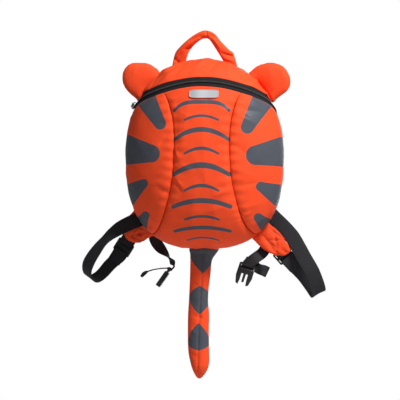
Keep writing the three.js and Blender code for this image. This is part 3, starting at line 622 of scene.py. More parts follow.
side_x, side_y = patch(rim_edge(side_foot, side_foot),
                       zip_edge(seam_x(side_top) + EDGE_GAP, border_point(side_end)[0]),
                       seam_edge(side_foot_y, side_top, 1, EDGE_GAP), rim_edge(side_foot, side_end),
                       *shares(190, 100))
for side_name, side_sign in (("left", -1), ("right", 1)):
    x, y = side_sign * side_x, side_y
    if side_sign < 0:
        x, y = x[:, ::-1], y[:, ::-1]
    side_shell = shell_cloth(f"orange shell with wedges {side_name}",
                             prints(wedge, WEDGE_COLUMNS, SIDE_WEDGES[side_name]))
    panel_piece(f"side_panel_{side_name}_cloth", x, y, side_lift(side_sign), side_shell,
                f"side_panel_{side_name}")

# Top gusset: a crescent of the same cloth between the zip and the back panel, cut a little full,
# so that it lies in soft slanting folds.
ZIP_FLARE = 6.5 * MM
GUSSET_SHOULDER = 11 * MM
GUSSET_FOLDS = [
    (-74, 66, -58, 92, 6, 2.7), (-58, 70, -46, 106, 5, -2.2), (-44, 74, -26, 118, 6, 2.5),
    (-28, 76, -20, 112, 5, -1.8), (-10, 78, 8, 128, 7, 2.2), (6, 76, 18, 112, 5, -1.8),
    (24, 76, 34, 122, 6, 2.4), (40, 72, 56, 108, 5, -2.1), (52, 70, 72, 100, 6, 2.8),
    (72, 66, 88, 84, 5, 2.0), (-88, 58, -80, 80, 5, -1.8),
    (-66, 70, -50, 84, 3, 2.1), (-50, 72, -36, 88, 3, -2.0), (-38, 74, -18, 96, 3, 2.2),
    (-20, 76, 4, 90, 3, -1.8), (10, 78, 34, 84, 3, 1.7), (40, 76, 60, 88, 3, -1.8),
] + small_creases(13, 40, (-90, 66), (70, 110), 0.6)
gusset_end = zip_end_angle(ZIP_HALF)


def zip_flare(x):
    """How much further up the gusset's edge lies towards the ends of the zip."""
    return ZIP_FLARE * (np.abs(x) / ZIP_SAG_SPAN) ** 3


def gusset_lift(x, y):
    return fold_lift(x, y, GUSSET_FOLDS)


u, v = shares(70, 240)
rim_x, rim_y = rim_edge(math.pi - gusset_end, gusset_end)(u)
edge_x = (2 * u - 1) * border_point(gusset_end)[0]
edge_y = zip_y(edge_x) + ZIP_HALF + zip_flare(edge_x)
x, y = edge_x + (rim_x - edge_x) * v, edge_y + (rim_y - edge_y) * v
gusset = panel_piece("top_gusset_cloth", x, y, gusset_lift, plain_shell, "top_gusset")


def values_at(piece, what):
    """The place (co) or the normal of each corner of a piece."""
    values = np.empty(len(piece.data.vertices) * 3, dtype=np.float32)
    piece.data.vertices.foreach_get(what, values)
    return values.reshape(-1, 3).astype(float)


def set_points(piece, points):
    piece.data.vertices.foreach_set("co", points.astype(np.float32).ravel())
    piece.data.update()


def drawn_out(points, row, reach):
    """Points drawn over near one place; the row holds where, in mm, and how far across and up."""
    across, height, draw_across, draw_up = np.array(row) * MM
    nearness = hill(np.hypot(points[..., 0] - across, points[..., 2] - height), reach)
    return points + nearness[..., None] * np.array((draw_across, 0, draw_up))


# The stuffed ears hold the gusset out beside the handle.
for row in ((-53, -43, -2.6, 3.2), (56, -46, 1.0, 1.4)):
    set_points(gusset, drawn_out(values_at(gusset, "co"), row, GUSSET_SHOULDER))

# Back panel: foam-filled dark cloth, quilted in diamonds, flat where it lies on the child's back and
# standing a little past the seam all round.
BACK_OVERHANG = 2 * MM
QUILT_PITCH = 42 * MM
QUILT_DEPTH = 1.1 * MM
QUILT_WIDTH = 2.4 * MM
QUILT_FADE = 0.1
QUILTED_FROM = 4.5
dark_cloth = cloth_material("dark padded cloth", (0.030, 0.030, 0.034, 1), roughness=0.75,
                            thread=0.9 * MM, drift_amount=0.12, bump=0.12 * MM)

# From the middle of the inner face round the edge to the middle of the outer face: the share of the
# panel's reach, and how far back in mm.
BACK_PROFILE = [(0.0, 0.4), (0.25, 0.4), (0.5, 0.4), (0.75, 0.4), (0.93, 0.4), (0.985, 1.0), (1.0, 2.5),
                (0.985, 4.0), (0.93, 4.6)] + [(share, 4.6) for share in np.linspace(0.9, 0, 46)]
angle = np.linspace(0, 2 * math.pi, 160, endpoint=False)
back_reach = outline_reach(angle) * math.sin(RIM_TURN) ** SIDE_ROUNDING + BACK_OVERHANG
rings = []
for share, depth in BACK_PROFILE:
    ring_x = back_reach * share * np.cos(angle)
    ring_z = BAG_CENTRE_Z + back_reach * share * np.sin(angle)
    ring_y = np.full_like(ring_x, depth * MM)
    if depth > QUILTED_FROM:
        channel = np.minimum(*(np.abs(slant % QUILT_PITCH - QUILT_PITCH / 2)
                               for slant in (ring_x + ring_z, ring_x - ring_z)))
        ring_y = ring_y - QUILT_DEPTH * hill(channel, QUILT_WIDTH) * min(1, (1 - share) / QUILT_FADE)
    rings.append(np.stack([ring_x, ring_y, ring_z], axis=-1))
back_pad = sheet_piece("back_panel_padding", np.array(rings), dark_cloth, closed_round=True)


@contextmanager
def shaped(mesh):
    """Opens a mesh for work on its corners and faces, and writes it back."""
    shape = bmesh.new()
    shape.from_mesh(mesh)
    yield shape
    shape.to_mesh(mesh)
    shape.free()


def tidy_mesh(piece):
    """Joins equal corners and turns a closed piece's faces outward."""
    with shaped(piece.data) as shape:
        bmesh.ops.remove_doubles(shape, verts=shape.verts, dist=1e-6)
        bmesh.ops.recalc_face_normals(shape, faces=shape.faces)


tidy_mesh(back_pad)
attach(back_pad, "root")
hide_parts("back_panel")

# Zip: a dark coil zip with a woven tape each side, set in the slot between the gusset and the
# front panels, whose turned edges are stitched down on the tapes.
TAPE_THICKNESS = 0.9 * MM
TAPE_LIFT = -0.5 * MM
TAPE_TUCK = 0.6 * MM
TAPE_PARTING = 0.2 * MM
TAPE_RIB = 0.12 * MM
TAPE_ROWS = 8
zip_cloth = cloth_material("zip tape", (0.017, 0.015, 0.016, 1), roughness=0.85, thread=0.9 * MM,
                           drift_amount=0.1, bump=0.1 * MM)


def no_lift(x, y):
    return np.zeros(np.shape(x))


def zip_line(offset, count, clip=0.0):
    """Flat points of a line along the zip, from one end of it to the other."""
    end = border_point(zip_end_angle(offset))[0] - clip
    x = np.linspace(-end, end, count)
    return x, zip_y(x) + offset


for side_name, low, high in (("lower", -ZIP_HALF - TAPE_TUCK, -TAPE_PARTING),
                             ("upper", TAPE_PARTING, ZIP_HALF + TAPE_TUCK)):
    lines = [zip_line(offset, 160, clip=0.4 * MM) for offset in np.linspace(low, high, TAPE_ROWS)]
    x, y = np.swapaxes(lines, 0, 1)
    if side_name == "upper":
        y = y + zip_flare(x) * np.linspace(0, 1, TAPE_ROWS)[:, None]
    ribs = TAPE_RIB * np.cos(2 * math.pi * np.linspace(0, 3, TAPE_ROWS))[:, None]
    tape = sheet_piece(f"zip_tape_{side_name}_cloth", cloth_surface(x, y, no_lift, TAPE_LIFT + ribs),
                       zip_cloth, None, TAPE_THICKNESS)
    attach(tape, "root")
    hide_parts(f"zip_tape_{side_name}")

# Row of small rounded bars along a path: the coil's turns lie across it and stitches along it.
bars = bpy.data.node_groups.new("row of small bars", "GeometryNodeTree")
bars.interface.new_socket("Path", in_out="INPUT", socket_type="NodeSocketGeometry")
for label in ("Spacing", "Along", "Across", "Tall"):
    bars.interface.new_socket(label, in_out="INPUT", socket_type="NodeSocketFloat")
bars.interface.new_socket("Finish", in_out="INPUT", socket_type="NodeSocketMaterial")
bars.interface.new_socket("Bars", in_out="OUTPUT", socket_type="NodeSocketGeometry")
given = new_node(bars, "NodeGroupInput").outputs
curve = new_node(bars, "GeometryNodeMeshToCurve", {"Mesh": given["Path"]}).outputs[0]
even = new_node(bars, "GeometryNodeResampleCurve", {"Curve": curve, "Length": given["Spacing"]},
                mode="LENGTH").outputs[0]
grain = new_node(bars, "GeometryNodeMeshIcoSphere", {"Radius": 0.5, "Subdivisions": 1}).outputs["Mesh"]
run = new_node(bars, "GeometryNodeInputTangent").outputs[0]
laid = new_node(bars, "FunctionNodeAlignRotationToVector", {"Vector": run}, axis="X").outputs[0]
facing = new_node(bars, "GeometryNodeInputNamedAttribute", {"Name": "facing"},
                  data_type="FLOAT_VECTOR").outputs["Attribute"]
stood = new_node(bars, "FunctionNodeAlignRotationToVector", {"Rotation": laid, "Vector": facing},
                 axis="Z", pivot_axis="X").outputs[0]
size = new_node(bars, "ShaderNodeCombineXYZ",
                {"X": given["Along"], "Y": given["Across"], "Z": given["Tall"]}).outputs[0]
placed = new_node(bars, "GeometryNodeInstanceOnPoints",
                  {"Points": even, "Instance": grain, "Rotation": stood, "Scale": size}).outputs[0]
real = new_node(bars, "GeometryNodeRealizeInstances", {"Geometry": placed}).outputs[0]
smooth = new_node(bars, "GeometryNodeSetShadeSmooth", {"Geometry": real}).outputs[0]
finished = new_node(bars, "GeometryNodeSetMaterial",
                    {"Geometry": smooth, "Material": given["Finish"]}).outputs[0]
new_node(bars, "NodeGroupOutput", {"Bars": finished})


def apply_modifiers(piece):
    ready = piece.evaluated_get(bpy.context.evaluated_depsgraph_get())
    piece.data = bpy.data.meshes.new_from_object(ready)
    piece.modifiers.clear()


def bar_row(name, paths, sizes, material):
    """One piece holding rows of bars; each path is (points, the way its bars face)."""
    points, facings, edges = [], [], []
    for path, facing_way in paths:
        start = len(points)
        points.extend(tuple(p) for p in path)
        facings.extend(tuple(f) for f in np.broadcast_to(facing_way, np.shape(path)))
        edges.extend((start + i, start + i + 1) for i in range(len(path) - 1))
    mesh = bpy.data.meshes.new(name)
    mesh.from_pydata(points, edges, [])
    way = mesh.attributes.new("facing", "FLOAT_VECTOR", "POINT")
    way.data.foreach_set("vector", np.array(facings, dtype=np.float32).ravel())
    piece = bpy.data.objects.new(name, mesh)
    bpy.context.scene.collection.objects.link(piece)
    row = piece.modifiers.new("bars", "NODES")
    row.node_group = bars
    chosen = {**sizes, "Finish": material}
    for item in bars.interface.items_tree:
        if item.name in chosen:
            row[item.identifier] = chosen[item.name]
    apply_modifiers(piece)
    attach(piece, "root")
    return piece


def path_on_cloth(x, y, lift_at, proud):
    return cloth_surface(x, y, lift_at, proud), dome_normal(x, y)


COIL_TURN = {"Spacing": 1.45 * MM, "Along": 1.5 * MM, "Across": 4.2 * MM, "Tall": 1.7 * MM}
COIL_LIFT = 0.35 * MM
coil = bar_row("zip_coil_turns", [path_on_cloth(*zip_line(0, 300, TAPE_TUCK), no_lift, COIL_LIFT)],
               COIL_TURN, plain_material("zip coil", (0.018, 0.016, 0.017, 1), 0.5))
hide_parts("zip_coil")

# Topstitching: even rows of orange thread a little way in from the turned edges along the zip.
STITCH = {"Spacing": 2.9 * MM, "Along": 2.3 * MM, "Across": 0.55 * MM, "Tall": 0.4 * MM}
STITCH_LIFT = 0.15 * MM
EDGE_ROW = 2.4 * MM
upper_x, upper_y = zip_line(ZIP_HALF + EDGE_ROW, 300, clip=2 * MM)
row_paths = [path_on_cloth(upper_x, upper_y + zip_flare(upper_x), gusset_lift, STITCH_LIFT)]
lower_x, lower_y = zip_line(-ZIP_HALF - EDGE_ROW, 300, clip=2 * MM)
seam_line = seam_x(lower_y)
for chosen, lift_at in ((lower_x < -seam_line, side_lift(-1)),
                        (np.abs(lower_x) < seam_line, centre_lift),
                        (lower_x > seam_line, side_lift(1))):
    row_paths.append(path_on_cloth(lower_x[chosen], lower_y[chosen], lift_at, STITCH_LIFT))
zip_rows = bar_row("zip_topstitching", row_paths, STITCH,
                   plain_material("orange thread", (0.74, 0.075, 0.030, 1), 0.6))

# Badge: a small moulded silver-grey plate with rounded corners and a low rim, fixed flat on the
# centre panel just below the zip.
BADGE_WIDTH = 38 * MM
BADGE_HEIGHT = 10.6 * MM
BADGE_THICKNESS = 1.3 * MM
BADGE_DROP = 75.2 * MM
BADGE_SHIFT = 3 * MM
BADGE_CORNER_POWER = 6
BADGE_SEAT = 0.6 * MM
BADGE_RIM = 0.8


def flat_from(x, z):
    """Flat point of the cloth that is seen at x and z from the front."""
    angle = np.arctan2(z - BAG_CENTRE_Z, x)
    reach = outline_reach(angle)
    share = np.hypot(x, z - BAG_CENTRE_Z) / reach
    length = reach * np.arcsin(share ** (1 / SIDE_ROUNDING)) / (math.pi / 2)
    return length * np.cos(angle), length * np.sin(angle)


def badge_material_with_painted_shade():
    """Silver-grey plate with painted shade towards its ends, so that it is lighter towards its middle.
    """
    material = plain_material("silver grey plate", (0.6, 0.6, 0.62, 1), 0.38, 0.15)
    tree = material.node_tree
    # Painted shade: the mix below darkens the plate towards its ends and leaves it lighter in the
    # middle.
    middle = ramp(tree, abs(split(tree, object_place(tree))[0]), BADGE_WIDTH * 0.42, 0.0)
    shade = mixed(tree, middle, (0.33, 0.345, 0.36, 1), (0.47, 0.485, 0.50, 1))
    set_look(material, {"Base Color": shade})
    return material


# From the foot of the badge's edge over its rim to the middle: share of its reach, share of its
# height.
BADGE_PROFILE = [(1, 0.0), (1, 0.8), (0.985, 1.0), (0.95, 1.0), (0.93, 0.84), (0.85, 0.8), (0.6, 0.8),
                 (0.3, 0.8), (0, 0.8)]
turn = np.linspace(0, 2 * math.pi, 96, endpoint=False)
badge_rings = []
for share, height in BADGE_PROFILE:
    half_up = share * BADGE_HEIGHT / 2
    half_across = share * BADGE_WIDTH / 2
    if share > BADGE_RIM:
        half_across = BADGE_WIDTH / 2 - (BADGE_HEIGHT / 2 - half_up)
    x, y = flat_from(BADGE_SHIFT + half_across * signed_power(np.cos(turn), 2 / BADGE_CORNER_POWER),
                     half_up * signed_power(np.sin(turn), 2 / BADGE_CORNER_POWER) - BADGE_DROP)
    lift = crown_lift(x, y) + BADGE_SEAT + height * BADGE_THICKNESS
    badge_rings.append(dome_point(x, y) + dome_normal(x, y) * lift[..., None])
badge_rings.insert(0, np.broadcast_to(badge_rings[0].mean(axis=0), badge_rings[0].shape))
badge = sheet_piece("badge_plate", np.array(badge_rings), badge_material_with_painted_shade(), closed_round=True)
tidy_mesh(badge)
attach(badge, "root")
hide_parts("badge")

# Ears: two rounds of shell cloth sewn together at the edge, turned, lightly stuffed and caught in
# the seam between gusset and back panel.
STUFFING_VOXEL = 2.4 * MM
STUFFING_FRAMES = 20
STUFFING = {"quality": 5, "mass": 0.2, "tension_stiffness": 12, "compression_stiffness": 12,
            "bending_stiffness": 0.3, "use_pressure": True, "uniform_pressure_force": 4.0}


def turned_to(ring, other, shifts):
    """The ring begun at another corner or run the other way, whichever lies nearest the other."""
    options = [np.roll(way, shift, axis=0) for way in (ring, ring[::-1]) for shift in shifts]
    return min(options, key=lambda option: ((option - other) ** 2).sum())


def rings_of(node, count, sorting):
    """Cross-sections of a lofted CAD solid, in order from its end that sorts first."""
    shape = bmesh.new()
    shape.from_mesh(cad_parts[node].data)
    bmesh.ops.remove_doubles(shape, verts=shape.verts, dist=1e-6)
    shape.verts.index_update()
    beside = {v: sorted((e.other_vert(v) for e in v.link_edges), key=lambda w: w.index)
              for v in shape.verts}
    pole = min((v for v in shape.verts if len(beside[v]) == count), key=lambda v: sorting(v.co))
    seen = {pole}
    layer = beside[pole]
    rings = []
    while len(layer) == count:
        ring = [layer[0]]
        while len(ring) < count:
            ring.append(next(v for v in beside[ring[-1]] if v in layer and v not in ring))
        points = np.array([v.co for v in ring])
        rings.append(turned_to(points, rings[-1], range(count)) if rings else points)
        seen.update(layer)
        layer = sorted({w for v in layer for w in beside[v]} - seen, key=lambda w: w.index)
    shape.free()
    return np.array(rings)


def spline(points, count, closed=False):
    """Smooth curve through an array's rows, as count rows."""
    total = len(points)
    spans = total if closed else total - 1
    place = np.linspace(0, spans, count, endpoint=not closed)
    first = np.minimum(place.astype(int), spans - 1)
    f = (place - first).reshape((-1,) + (1,) * (points.ndim - 1))
    near = [points[(first + k) % total] if closed else points[np.clip(first + k, 0, total - 1)]
            for k in (-1, 0, 1, 2)]
    return 0.5 * (2 * near[1] + (near[2] - near[0]) * f
                  + (2 * near[0] - 5 * near[1] + 4 * near[2] - near[3]) * f ** 2
                  + (3 * near[1] - near[0] - 3 * near[2] + near[3]) * f ** 3)


def refined(rings, rows, columns):
    """The same closed form with many more points along it and round it."""
    return np.swapaxes(spline(np.swapaxes(spline(rings, rows), 0, 1), columns, closed=True), 0, 1)


def capped(rings):
    """Rings with a closing point at each end."""
    ends = [np.broadcast_to(ring.mean(axis=0), ring.shape) for ring in (rings[0], rings[-1])]
    return np.concatenate([ends[0][None], rings, ends[1][None]])


def solid_piece(name, rings, material):
    piece = sheet_piece(name, capped(rings), material, closed_round=True)
    tidy_mesh(piece)
    return piece


def stuff(piece, pinned_at, limit, shrink):
    """Fills a closed cloth form by simulation: it starts smaller, swells under pressure and keeps
    its sewn root; no point moves further than the limit. The result is divided once."""
    again = piece.modifiers.new("even cloth", "REMESH")
    again.mode = "VOXEL"
    again.voxel_size = STUFFING_VOXEL
    apply_modifiers(piece)
    start = values_at(piece, "co")
    pinned = pinned_at(start)
    set_points(piece, start - values_at(piece, "normal") * (shrink * ~pinned)[:, None])
    before = values_at(piece, "co")
    sewn = piece.vertex_groups.new(name="sewn")
    sewn.add([int(i) for i in np.flatnonzero(pinned)], 1.0, "REPLACE")
    fill = piece.modifiers.new("stuffing", "CLOTH")
    for label, value in STUFFING.items():
        setattr(fill.settings, label, value)
    fill.settings.vertex_group_mass = "sewn"
    fill.settings.effector_weights.gravity = 0
    fill.point_cache.frame_start = 1
    fill.point_cache.frame_end = STUFFING_FRAMES
    for step in range(1, STUFFING_FRAMES + 1):
        bpy.context.scene.frame_set(step)
    apply_modifiers(piece)
    bpy.context.scene.frame_set(1)
    moved = values_at(piece, "co") - before
    length = np.linalg.norm(moved, axis=1, keepdims=True)
    set_points(piece, before + moved * np.minimum(1, limit / np.maximum(length, 1e-9)))
    piece.vertex_groups.clear()
    finer = piece.modifiers.new("finer", "SUBSURF")
    finer.levels = finer.render_levels = 1
    apply_modifiers(piece)
    piece.data.polygons.foreach_set("use_smooth", [True] * len(piece.data.polygons))


def near_bag(points, reach):
    """True for points within a reach of the bag's own side."""
    angle = np.arctan2(points[:, 2] - BAG_CENTRE_Z, points[:, 0])
    out = np.hypot(points[:, 0], points[:, 2] - BAG_CENTRE_Z)
    return out < outline_reach(angle) + reach


def press_in(piece, lines):
    """Presses drawn creases back into a piece: each line is two points seen from the front, a
    width and a height, all in mm, and it works on the faces that look forward."""
    points = values_at(piece, "co")
    shown = np.clip(-2.5 * values_at(piece, "normal")[:, 1], 0, 1)
    points[:, 1] -= fold_lift(points[:, 0], points[:, 2], lines) * shown
    set_points(piece, points)


# Each ear's upper corner is drawn out along the seam: where, in mm, and how far across and up.
EAR_CORNERS = {"left": (-67, -44, 5, 0), "right": (66, -45, -6, -1)}
EAR_CORNER_REACH = 10 * MM
EAR_CREASES = {
    "left": [(-72, -60, -84, -72, 4, 0.6), (-92, -32, -96, -50, 5, 0.6)],
    "right": [(67, -50, 82, -76, 6.5, -2.4), (84, -36, 88, -58, 7, 0.8),
              (96, -36, 100, -60, 5, -0.5)],
}
for side_name in ("left", "right"):
    node = f"ear_{side_name}"
    flap = refined(rings_of(node, 26, lambda co: co.y), 40, 110)
    flap = drawn_out(flap, EAR_CORNERS[side_name], EAR_CORNER_REACH)
    ear = solid_piece(f"ear_{side_name}_stuffed", flap, plain_shell)
    stuff(ear, lambda p: near_bag(p, 4 * MM), limit=2.5 * MM, shrink=0.8 * MM)
    press_in(ear, EAR_CREASES[side_name])
    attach(ear, "root")
    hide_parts(node)

# Wings: small padded tabs of shell cloth at the lower corners of the back seam, which carry the
# ladder-lock buckles; each has a stitched box with a cross where the webbing is sewn in. A box's
# row holds across and up in mm and its slant in degrees.
BOX_LENGTH = 18 * MM
BOX_WIDTH = 15 * MM
BOX_CHANNEL = (1.8, -2.0)
BOX_STITCH = {**STITCH, "Spacing": 2.32 * MM, "Along": 1.84 * MM}
BOX_STITCH_LIFT = 0.12 * MM
WING_BOXES = {"left": (-87.5, -258.5, -25), "right": (93, -267.5, -38)}
WING_CREASES = {
    "left": [(-98, -236, -90, -250, 3, -1.0), (-104, -248, -96, -256, 3, -0.9),
             (-80, -248, -74, -262, 3, 0.8), (-91, -257, -87, -260, 1.3, -2.4),
             (-96, -262, -90, -270, 2.4, -1.4)],
    "right": [(79, -264, 91, -283, 2.2, -2.2), (88, -277, 100, -289, 2.2, -1.8),
              (101, -279, 109, -286, 2.2, -1.6), (72, -258, 80, -266, 2.6, -1.4),
              (84, -249, 90, -257, 2.6, -1.6), (100, -253, 107, -262, 2.4, -1.4),
              (96, -279, 98, -288, 3, 1.3)],
}
pale_thread = plain_material("pale thread", (0.66, 0.17, 0.11, 1), 0.6)


def surface_from_front(piece, places):
    """Front surface points and normals of a piece under a list of (across, up) places."""
    ready = piece.evaluated_get(bpy.context.evaluated_depsgraph_get())
    points, ways = [], []
    for across, up in places:
        hit, point, way, _ = ready.ray_cast(Vector((across, -1, up)), Vector((0, 1, 0)))
        if hit:
            points.append(point + way * BOX_STITCH_LIFT)
            ways.append(way)
    return np.array(points), np.array(ways)


for side_name in ("left", "right"):
    node = f"wing_{side_name}"
    flap = refined(rings_of(node, 26, lambda co: co.y), 30, 110)
    wing = solid_piece(f"wing_{side_name}_padded", flap, plain_shell)
    stuff(wing, lambda p: near_bag(p, 3 * MM), limit=1.6 * MM, shrink=0.6 * MM)
    across, up, degrees = WING_BOXES[side_name]
    cos, sin = math.cos(math.radians(degrees)), math.sin(math.radians(degrees))
    along = np.array((cos, sin)) * BOX_LENGTH / 2
    over = np.array((-sin, cos)) * BOX_WIDTH / 2
    corners = [np.array((across, up)) * MM + i * along + j * over
               for i, j in ((-1, -1), (1, -1), (1, 1), (-1, 1))]
    runs = [(corners[i], corners[j]) for i, j in ((0, 1), (1, 2), (2, 3), (3, 0), (0, 2), (1, 3))]
    channels = [(*start / MM, *end / MM, *BOX_CHANNEL) for start, end in runs]
    press_in(wing, channels + WING_CREASES[side_name])
    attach(wing, "root")
    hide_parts(node)
    box_stitches = bar_row(f"wing_{side_name}_box_stitches",
                           [surface_from_front(wing, np.linspace(*line, 25)) for line in runs],
                           BOX_STITCH, pale_thread)

# Tail: a long stuffed tube of shell cloth in two halves with a seam down its front, printed with
# dark patches, its open top caught in the bottom seam of the bag.
PATCH_COLUMNS = ("Across", "Top", "Widest", "Foot", "Half", "Above", "Below")
TAIL_PATCHES = [
    (-2.0, -262, -283, -311.5, 19, 2.0, 1.6),
    (-6.2, -327.5, -343, -365.5, 13.4, 2.4, 2.2),
    (-7.8, -377, -402, -413.5, 13.8, 2.1, 3.2),
    (-23.5, -419, -430, -442, 6, 2.0, 2.0),
]
leaf, given, put_out = new_group("leaf patch", ["Place"], PATCH_COLUMNS, ["Mask"])
leaf_x, _, leaf_z = split(leaf, given["Place"])
shortfall = []
for end, power in (("Top", "Above"), ("Foot", "Below")):
    towards = (leaf_z - given["Widest"]) / (given[end] - given["Widest"])
    shortfall.append(towards.math("MAXIMUM", 0.0) ** given[power])
half_here = given["Half"] - (shortfall[0] + shortfall[1]) * given["Half"]
inside = half_here - abs(leaf_x - given["Across"])
feed(leaf, put_out["Mask"], ramp(leaf, inside, -1.5 * PRINT_EDGE, 1.5 * PRINT_EDGE))
tail_shell = shell_cloth("orange shell with leaf patches", prints(leaf, PATCH_COLUMNS, TAIL_PATCHES))
TAIL_TUCK = 6 * MM
TAIL_SEAM = [(-1.0, -261), (-2.0, -278), (-3.2, -310), (-5.2, -345), (-7.4, -385), (-8.6, -420),
             (-9.0, -448)]
TAIL_CHANNEL = (1.2, -1.7)
TAIL_CREASES = [
    (-18, -296, -8, -306, 3, 1.2), (10, -300, 0, -312, 3, -1.3), (-20, -322, -4, -330, 3.5, -1.2),
    (2, -336, -6, -350, 3, 1.2), (-20, -352, -10, -346, 3, -1.0), (-2, -372, -14, -366, 3.5, -1.4),
    (-20, -384, -10, -392, 3.5, 1.2), (0, -398, -8, -410, 3.5, -1.1), (-20, -416, -8, -424, 4, -1.0),
    (-4, -430, -10, -440, 3, 0.8),
]
tail_rows = rings_of("tail", 14, lambda co: -co.z)
tail_rows[0] += (0, 0, TAIL_TUCK)
tail_rings = refined(tail_rows, 60, 56)
tail = solid_piece("tail_stuffed", tail_rings, tail_shell)
stuff(tail, lambda p: p[:, 2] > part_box("tail")[1].z - 4 * MM, limit=2.2 * MM, shrink=1.0 * MM)
seam_runs = [(*start, *end, *TAIL_CHANNEL) for start, end in zip(TAIL_SEAM, TAIL_SEAM[1:])]
press_in(tail, seam_runs + TAIL_CREASES)
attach(tail, "root")
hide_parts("tail")

# Grab handle: a doubled band of shell cloth whose two ends are sewn on top of the bag; its own
# weight on the hook pulls it to a peak, where it folds and turns on itself.
handle_rings = refined(rings_of("grab_handle", 12, lambda co: co.x), 150, 60)
handle = solid_piece("grab_handle_band", handle_rings, plain_shell)
HANDLE_FOLDS = [
    (-39, -30, -13, -6, 1.8, -2.6), (-26, -15, -16, -11, 1.6, -3.4), (-34, -30, -22, -18, 1.8, 1.6),
    (-20, -4, -2, 6, 1.6, -2.0), (2.8, 13, 3.2, 4, 1.4, -3.4), (-6, 1.5, 8, 2.5, 1.6, -2.1),
    (6, 6, 22, -3, 1.7, -2.6), (22, -3, 35, -18, 1.7, -2.6), (23, -19.5, 41, -24.5, 1.6, -3.4),
    (26, -26, 40, -31, 1.8, 1.8), (12, 0, 20, -12, 1.6, 1.7), (-42, -24, -34, -33, 1.8, -2.1),
]
press_in(handle, HANDLE_FOLDS)
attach(handle, "root")
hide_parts("grab_handle")

# Shoulder pads: foam in dark cloth with a rolled edge, sewn into the top of the back panel and
# bowed off it for the arms.
for side_name in ("left", "right"):
    node = f"shoulder_pad_{side_name}"
    pad = solid_piece(f"{node}_foam", refined(rings_of(node, 10, lambda co: -co.z), 48, 40), dark_cloth)
    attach(pad, "root")
    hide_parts(node)

# Webbing: flat woven strap in one long run a side, and narrower strap on the chest buckle. The
# weave shows as close ribs across the strap and a bound edge down each side.
LANE_PITCH = 1.208 * MM
RIB_PITCH = 1.6 * MM
ribbing, given, put_out = new_group("ribbed webbing", [], ["Along", "Across"], ["Height", "Tone"])
lane = abs((given["Across"] * (math.pi / LANE_PITCH)).math("SINE"))
rib = (given["Along"] * (2 * math.pi / RIB_PITCH) + lane * 1.2).math("SINE") * 0.5
feed(ribbing, put_out["Height"], rib + lane)
# The tone follows the ribs: painted light on their crests and painted shade in their grooves.
feed(ribbing, put_out["Tone"], rib * 0.35 + 1.0)


def webbing_material(name, colour):
    material = plain_material(name, colour, 0.7, specular=0.25)
    tree = material.node_tree
    along, across, _ = split(tree, new_node(tree, "ShaderNodeUVMap", uv_map="cloth").outputs["UV"])
    ribs = use_group(tree, ribbing, {"Along": along, "Across": across})
    woven_look(material, ribs, colour[:3], bump=0.3 * MM, strength=0.6)
    return material


black_webbing = webbing_material("black webbing", (0.019, 0.019, 0.022, 1))
STRAP_FACE = [(-1, 0), (-0.99, -0.55), (-0.93, -0.95), (-0.86, -0.8), (-0.78, -1), (-0.4, -1), (0, -1),
              (0.4, -1), (0.78, -1), (0.86, -0.8), (0.93, -0.95), (0.99, -0.55)]
STRAP_SECTION = np.array(STRAP_FACE + [(-across, -through) for across, through in STRAP_FACE])
STRAP_FINENESS = 4

# Where a strap is tucked into the bag's seam or lies in a soft bend, a few stops take the place of
# the CAD strap's cross-sections between two counts. Each stop holds across, forward and up as
# shares of the bag's half width, depth and lower reach, then the way the width runs.
STRAP_BENDS = {
    "shoulder_webbing_left": (8, 27, [
        (-0.80, -0.10, -0.52, 0.6, 0.1, -0.8), (-0.76, -0.01, -0.63, 0.5, 0.0, -0.87),
        (-0.835, 0.11, -0.70, 0.45, -0.1, -0.88), (-0.95, 0.19, -0.745, 0.38, -0.3, -0.88),
        (-1.067, 0.26, -0.795, 0.42, -0.45, -0.8)]),
    "shoulder_webbing_right": (4, 23, [
        (0.63, -0.13, -0.37, -0.9, 0, -0.3), (0.67, -0.125, -0.49, -0.8, 0, -0.5),
        (0.75, -0.11, -0.59, -0.7, 0, -0.7), (0.853, -0.08, -0.684, -0.7, 0, -0.7),
        (0.932, -0.03, -0.745, -0.74, 0, -0.67), (1.007, 0.0, -0.806, -0.76, 0, -0.64),
        (1.10, 0.03, -0.895, -0.84, 0, -0.54), (1.177, 0.06, -1.002, -0.86, 0, -0.51),
        (1.25, 0.1, -1.11, -0.87, 0, -0.49)]),
    "chest_strap_right": (30, 41, [
        (0.56, -0.04, -1.165, 0.2, 0, 0.95), (0.61, -0.02, -1.19, 0.15, 0.35, 0.92),
        (0.67, 0.0, -1.225, 0.1, -0.3, 0.93), (0.73, 0.03, -1.24, 0.2, 0.2, 0.9),
        (0.785, 0.03, -1.262, 0.35, -0.2, 0.9)]),
}


def with_bends(node, rings):
    """The strap's rings with its own stops swapped in, at the same width and thickness."""
    if node not in STRAP_BENDS:
        return rings
    first, last, stops = STRAP_BENDS[node]
    half_width = np.linalg.norm(rings[0, 1] - rings[0, 0]) / 2
    half_through = np.linalg.norm(rings[0, 2] - rings[0, 1]) / 2
    middles = [np.array([across * HALF_WIDTH, -forward * BAG_DEPTH, BAG_CENTRE_Z + up * LOWER_REACH])
               for across, forward, up, *_ in stops]
    path = [rings[first - 1].mean(axis=0)] + middles
    path.append(rings[last].mean(axis=0) if last < len(rings) else 2 * middles[-1] - middles[-2])
    swapped = [rings[first - 1]]
    for i, stop in enumerate(stops):
        run = unit(path[i + 2] - path[i])
        side = np.array(stop[3:], dtype=float)
        side = unit(side - run * (side @ run))
        through = np.cross(run, side)
        ring = np.array([middles[i] + a * side * half_width + b * through * half_through
                         for a, b in ((-1, -1), (1, -1), (1, 1), (-1, 1))])
        before = swapped[-1]
        swapped.append(turned_to(ring, before - before.mean(axis=0) + middles[i], (0, 2)))
    return np.concatenate([rings[:first], swapped[1:], rings[last:]])


# The left chest strap hangs twisted: it turns between the first two heights and back by the third,
# all in mm, through so many degrees.
STRAP_TWISTS = {"chest_strap_left": (-273, -297, -302, -44)}
STRAP_THICKENED = {"chest_strap_left": 1.5}


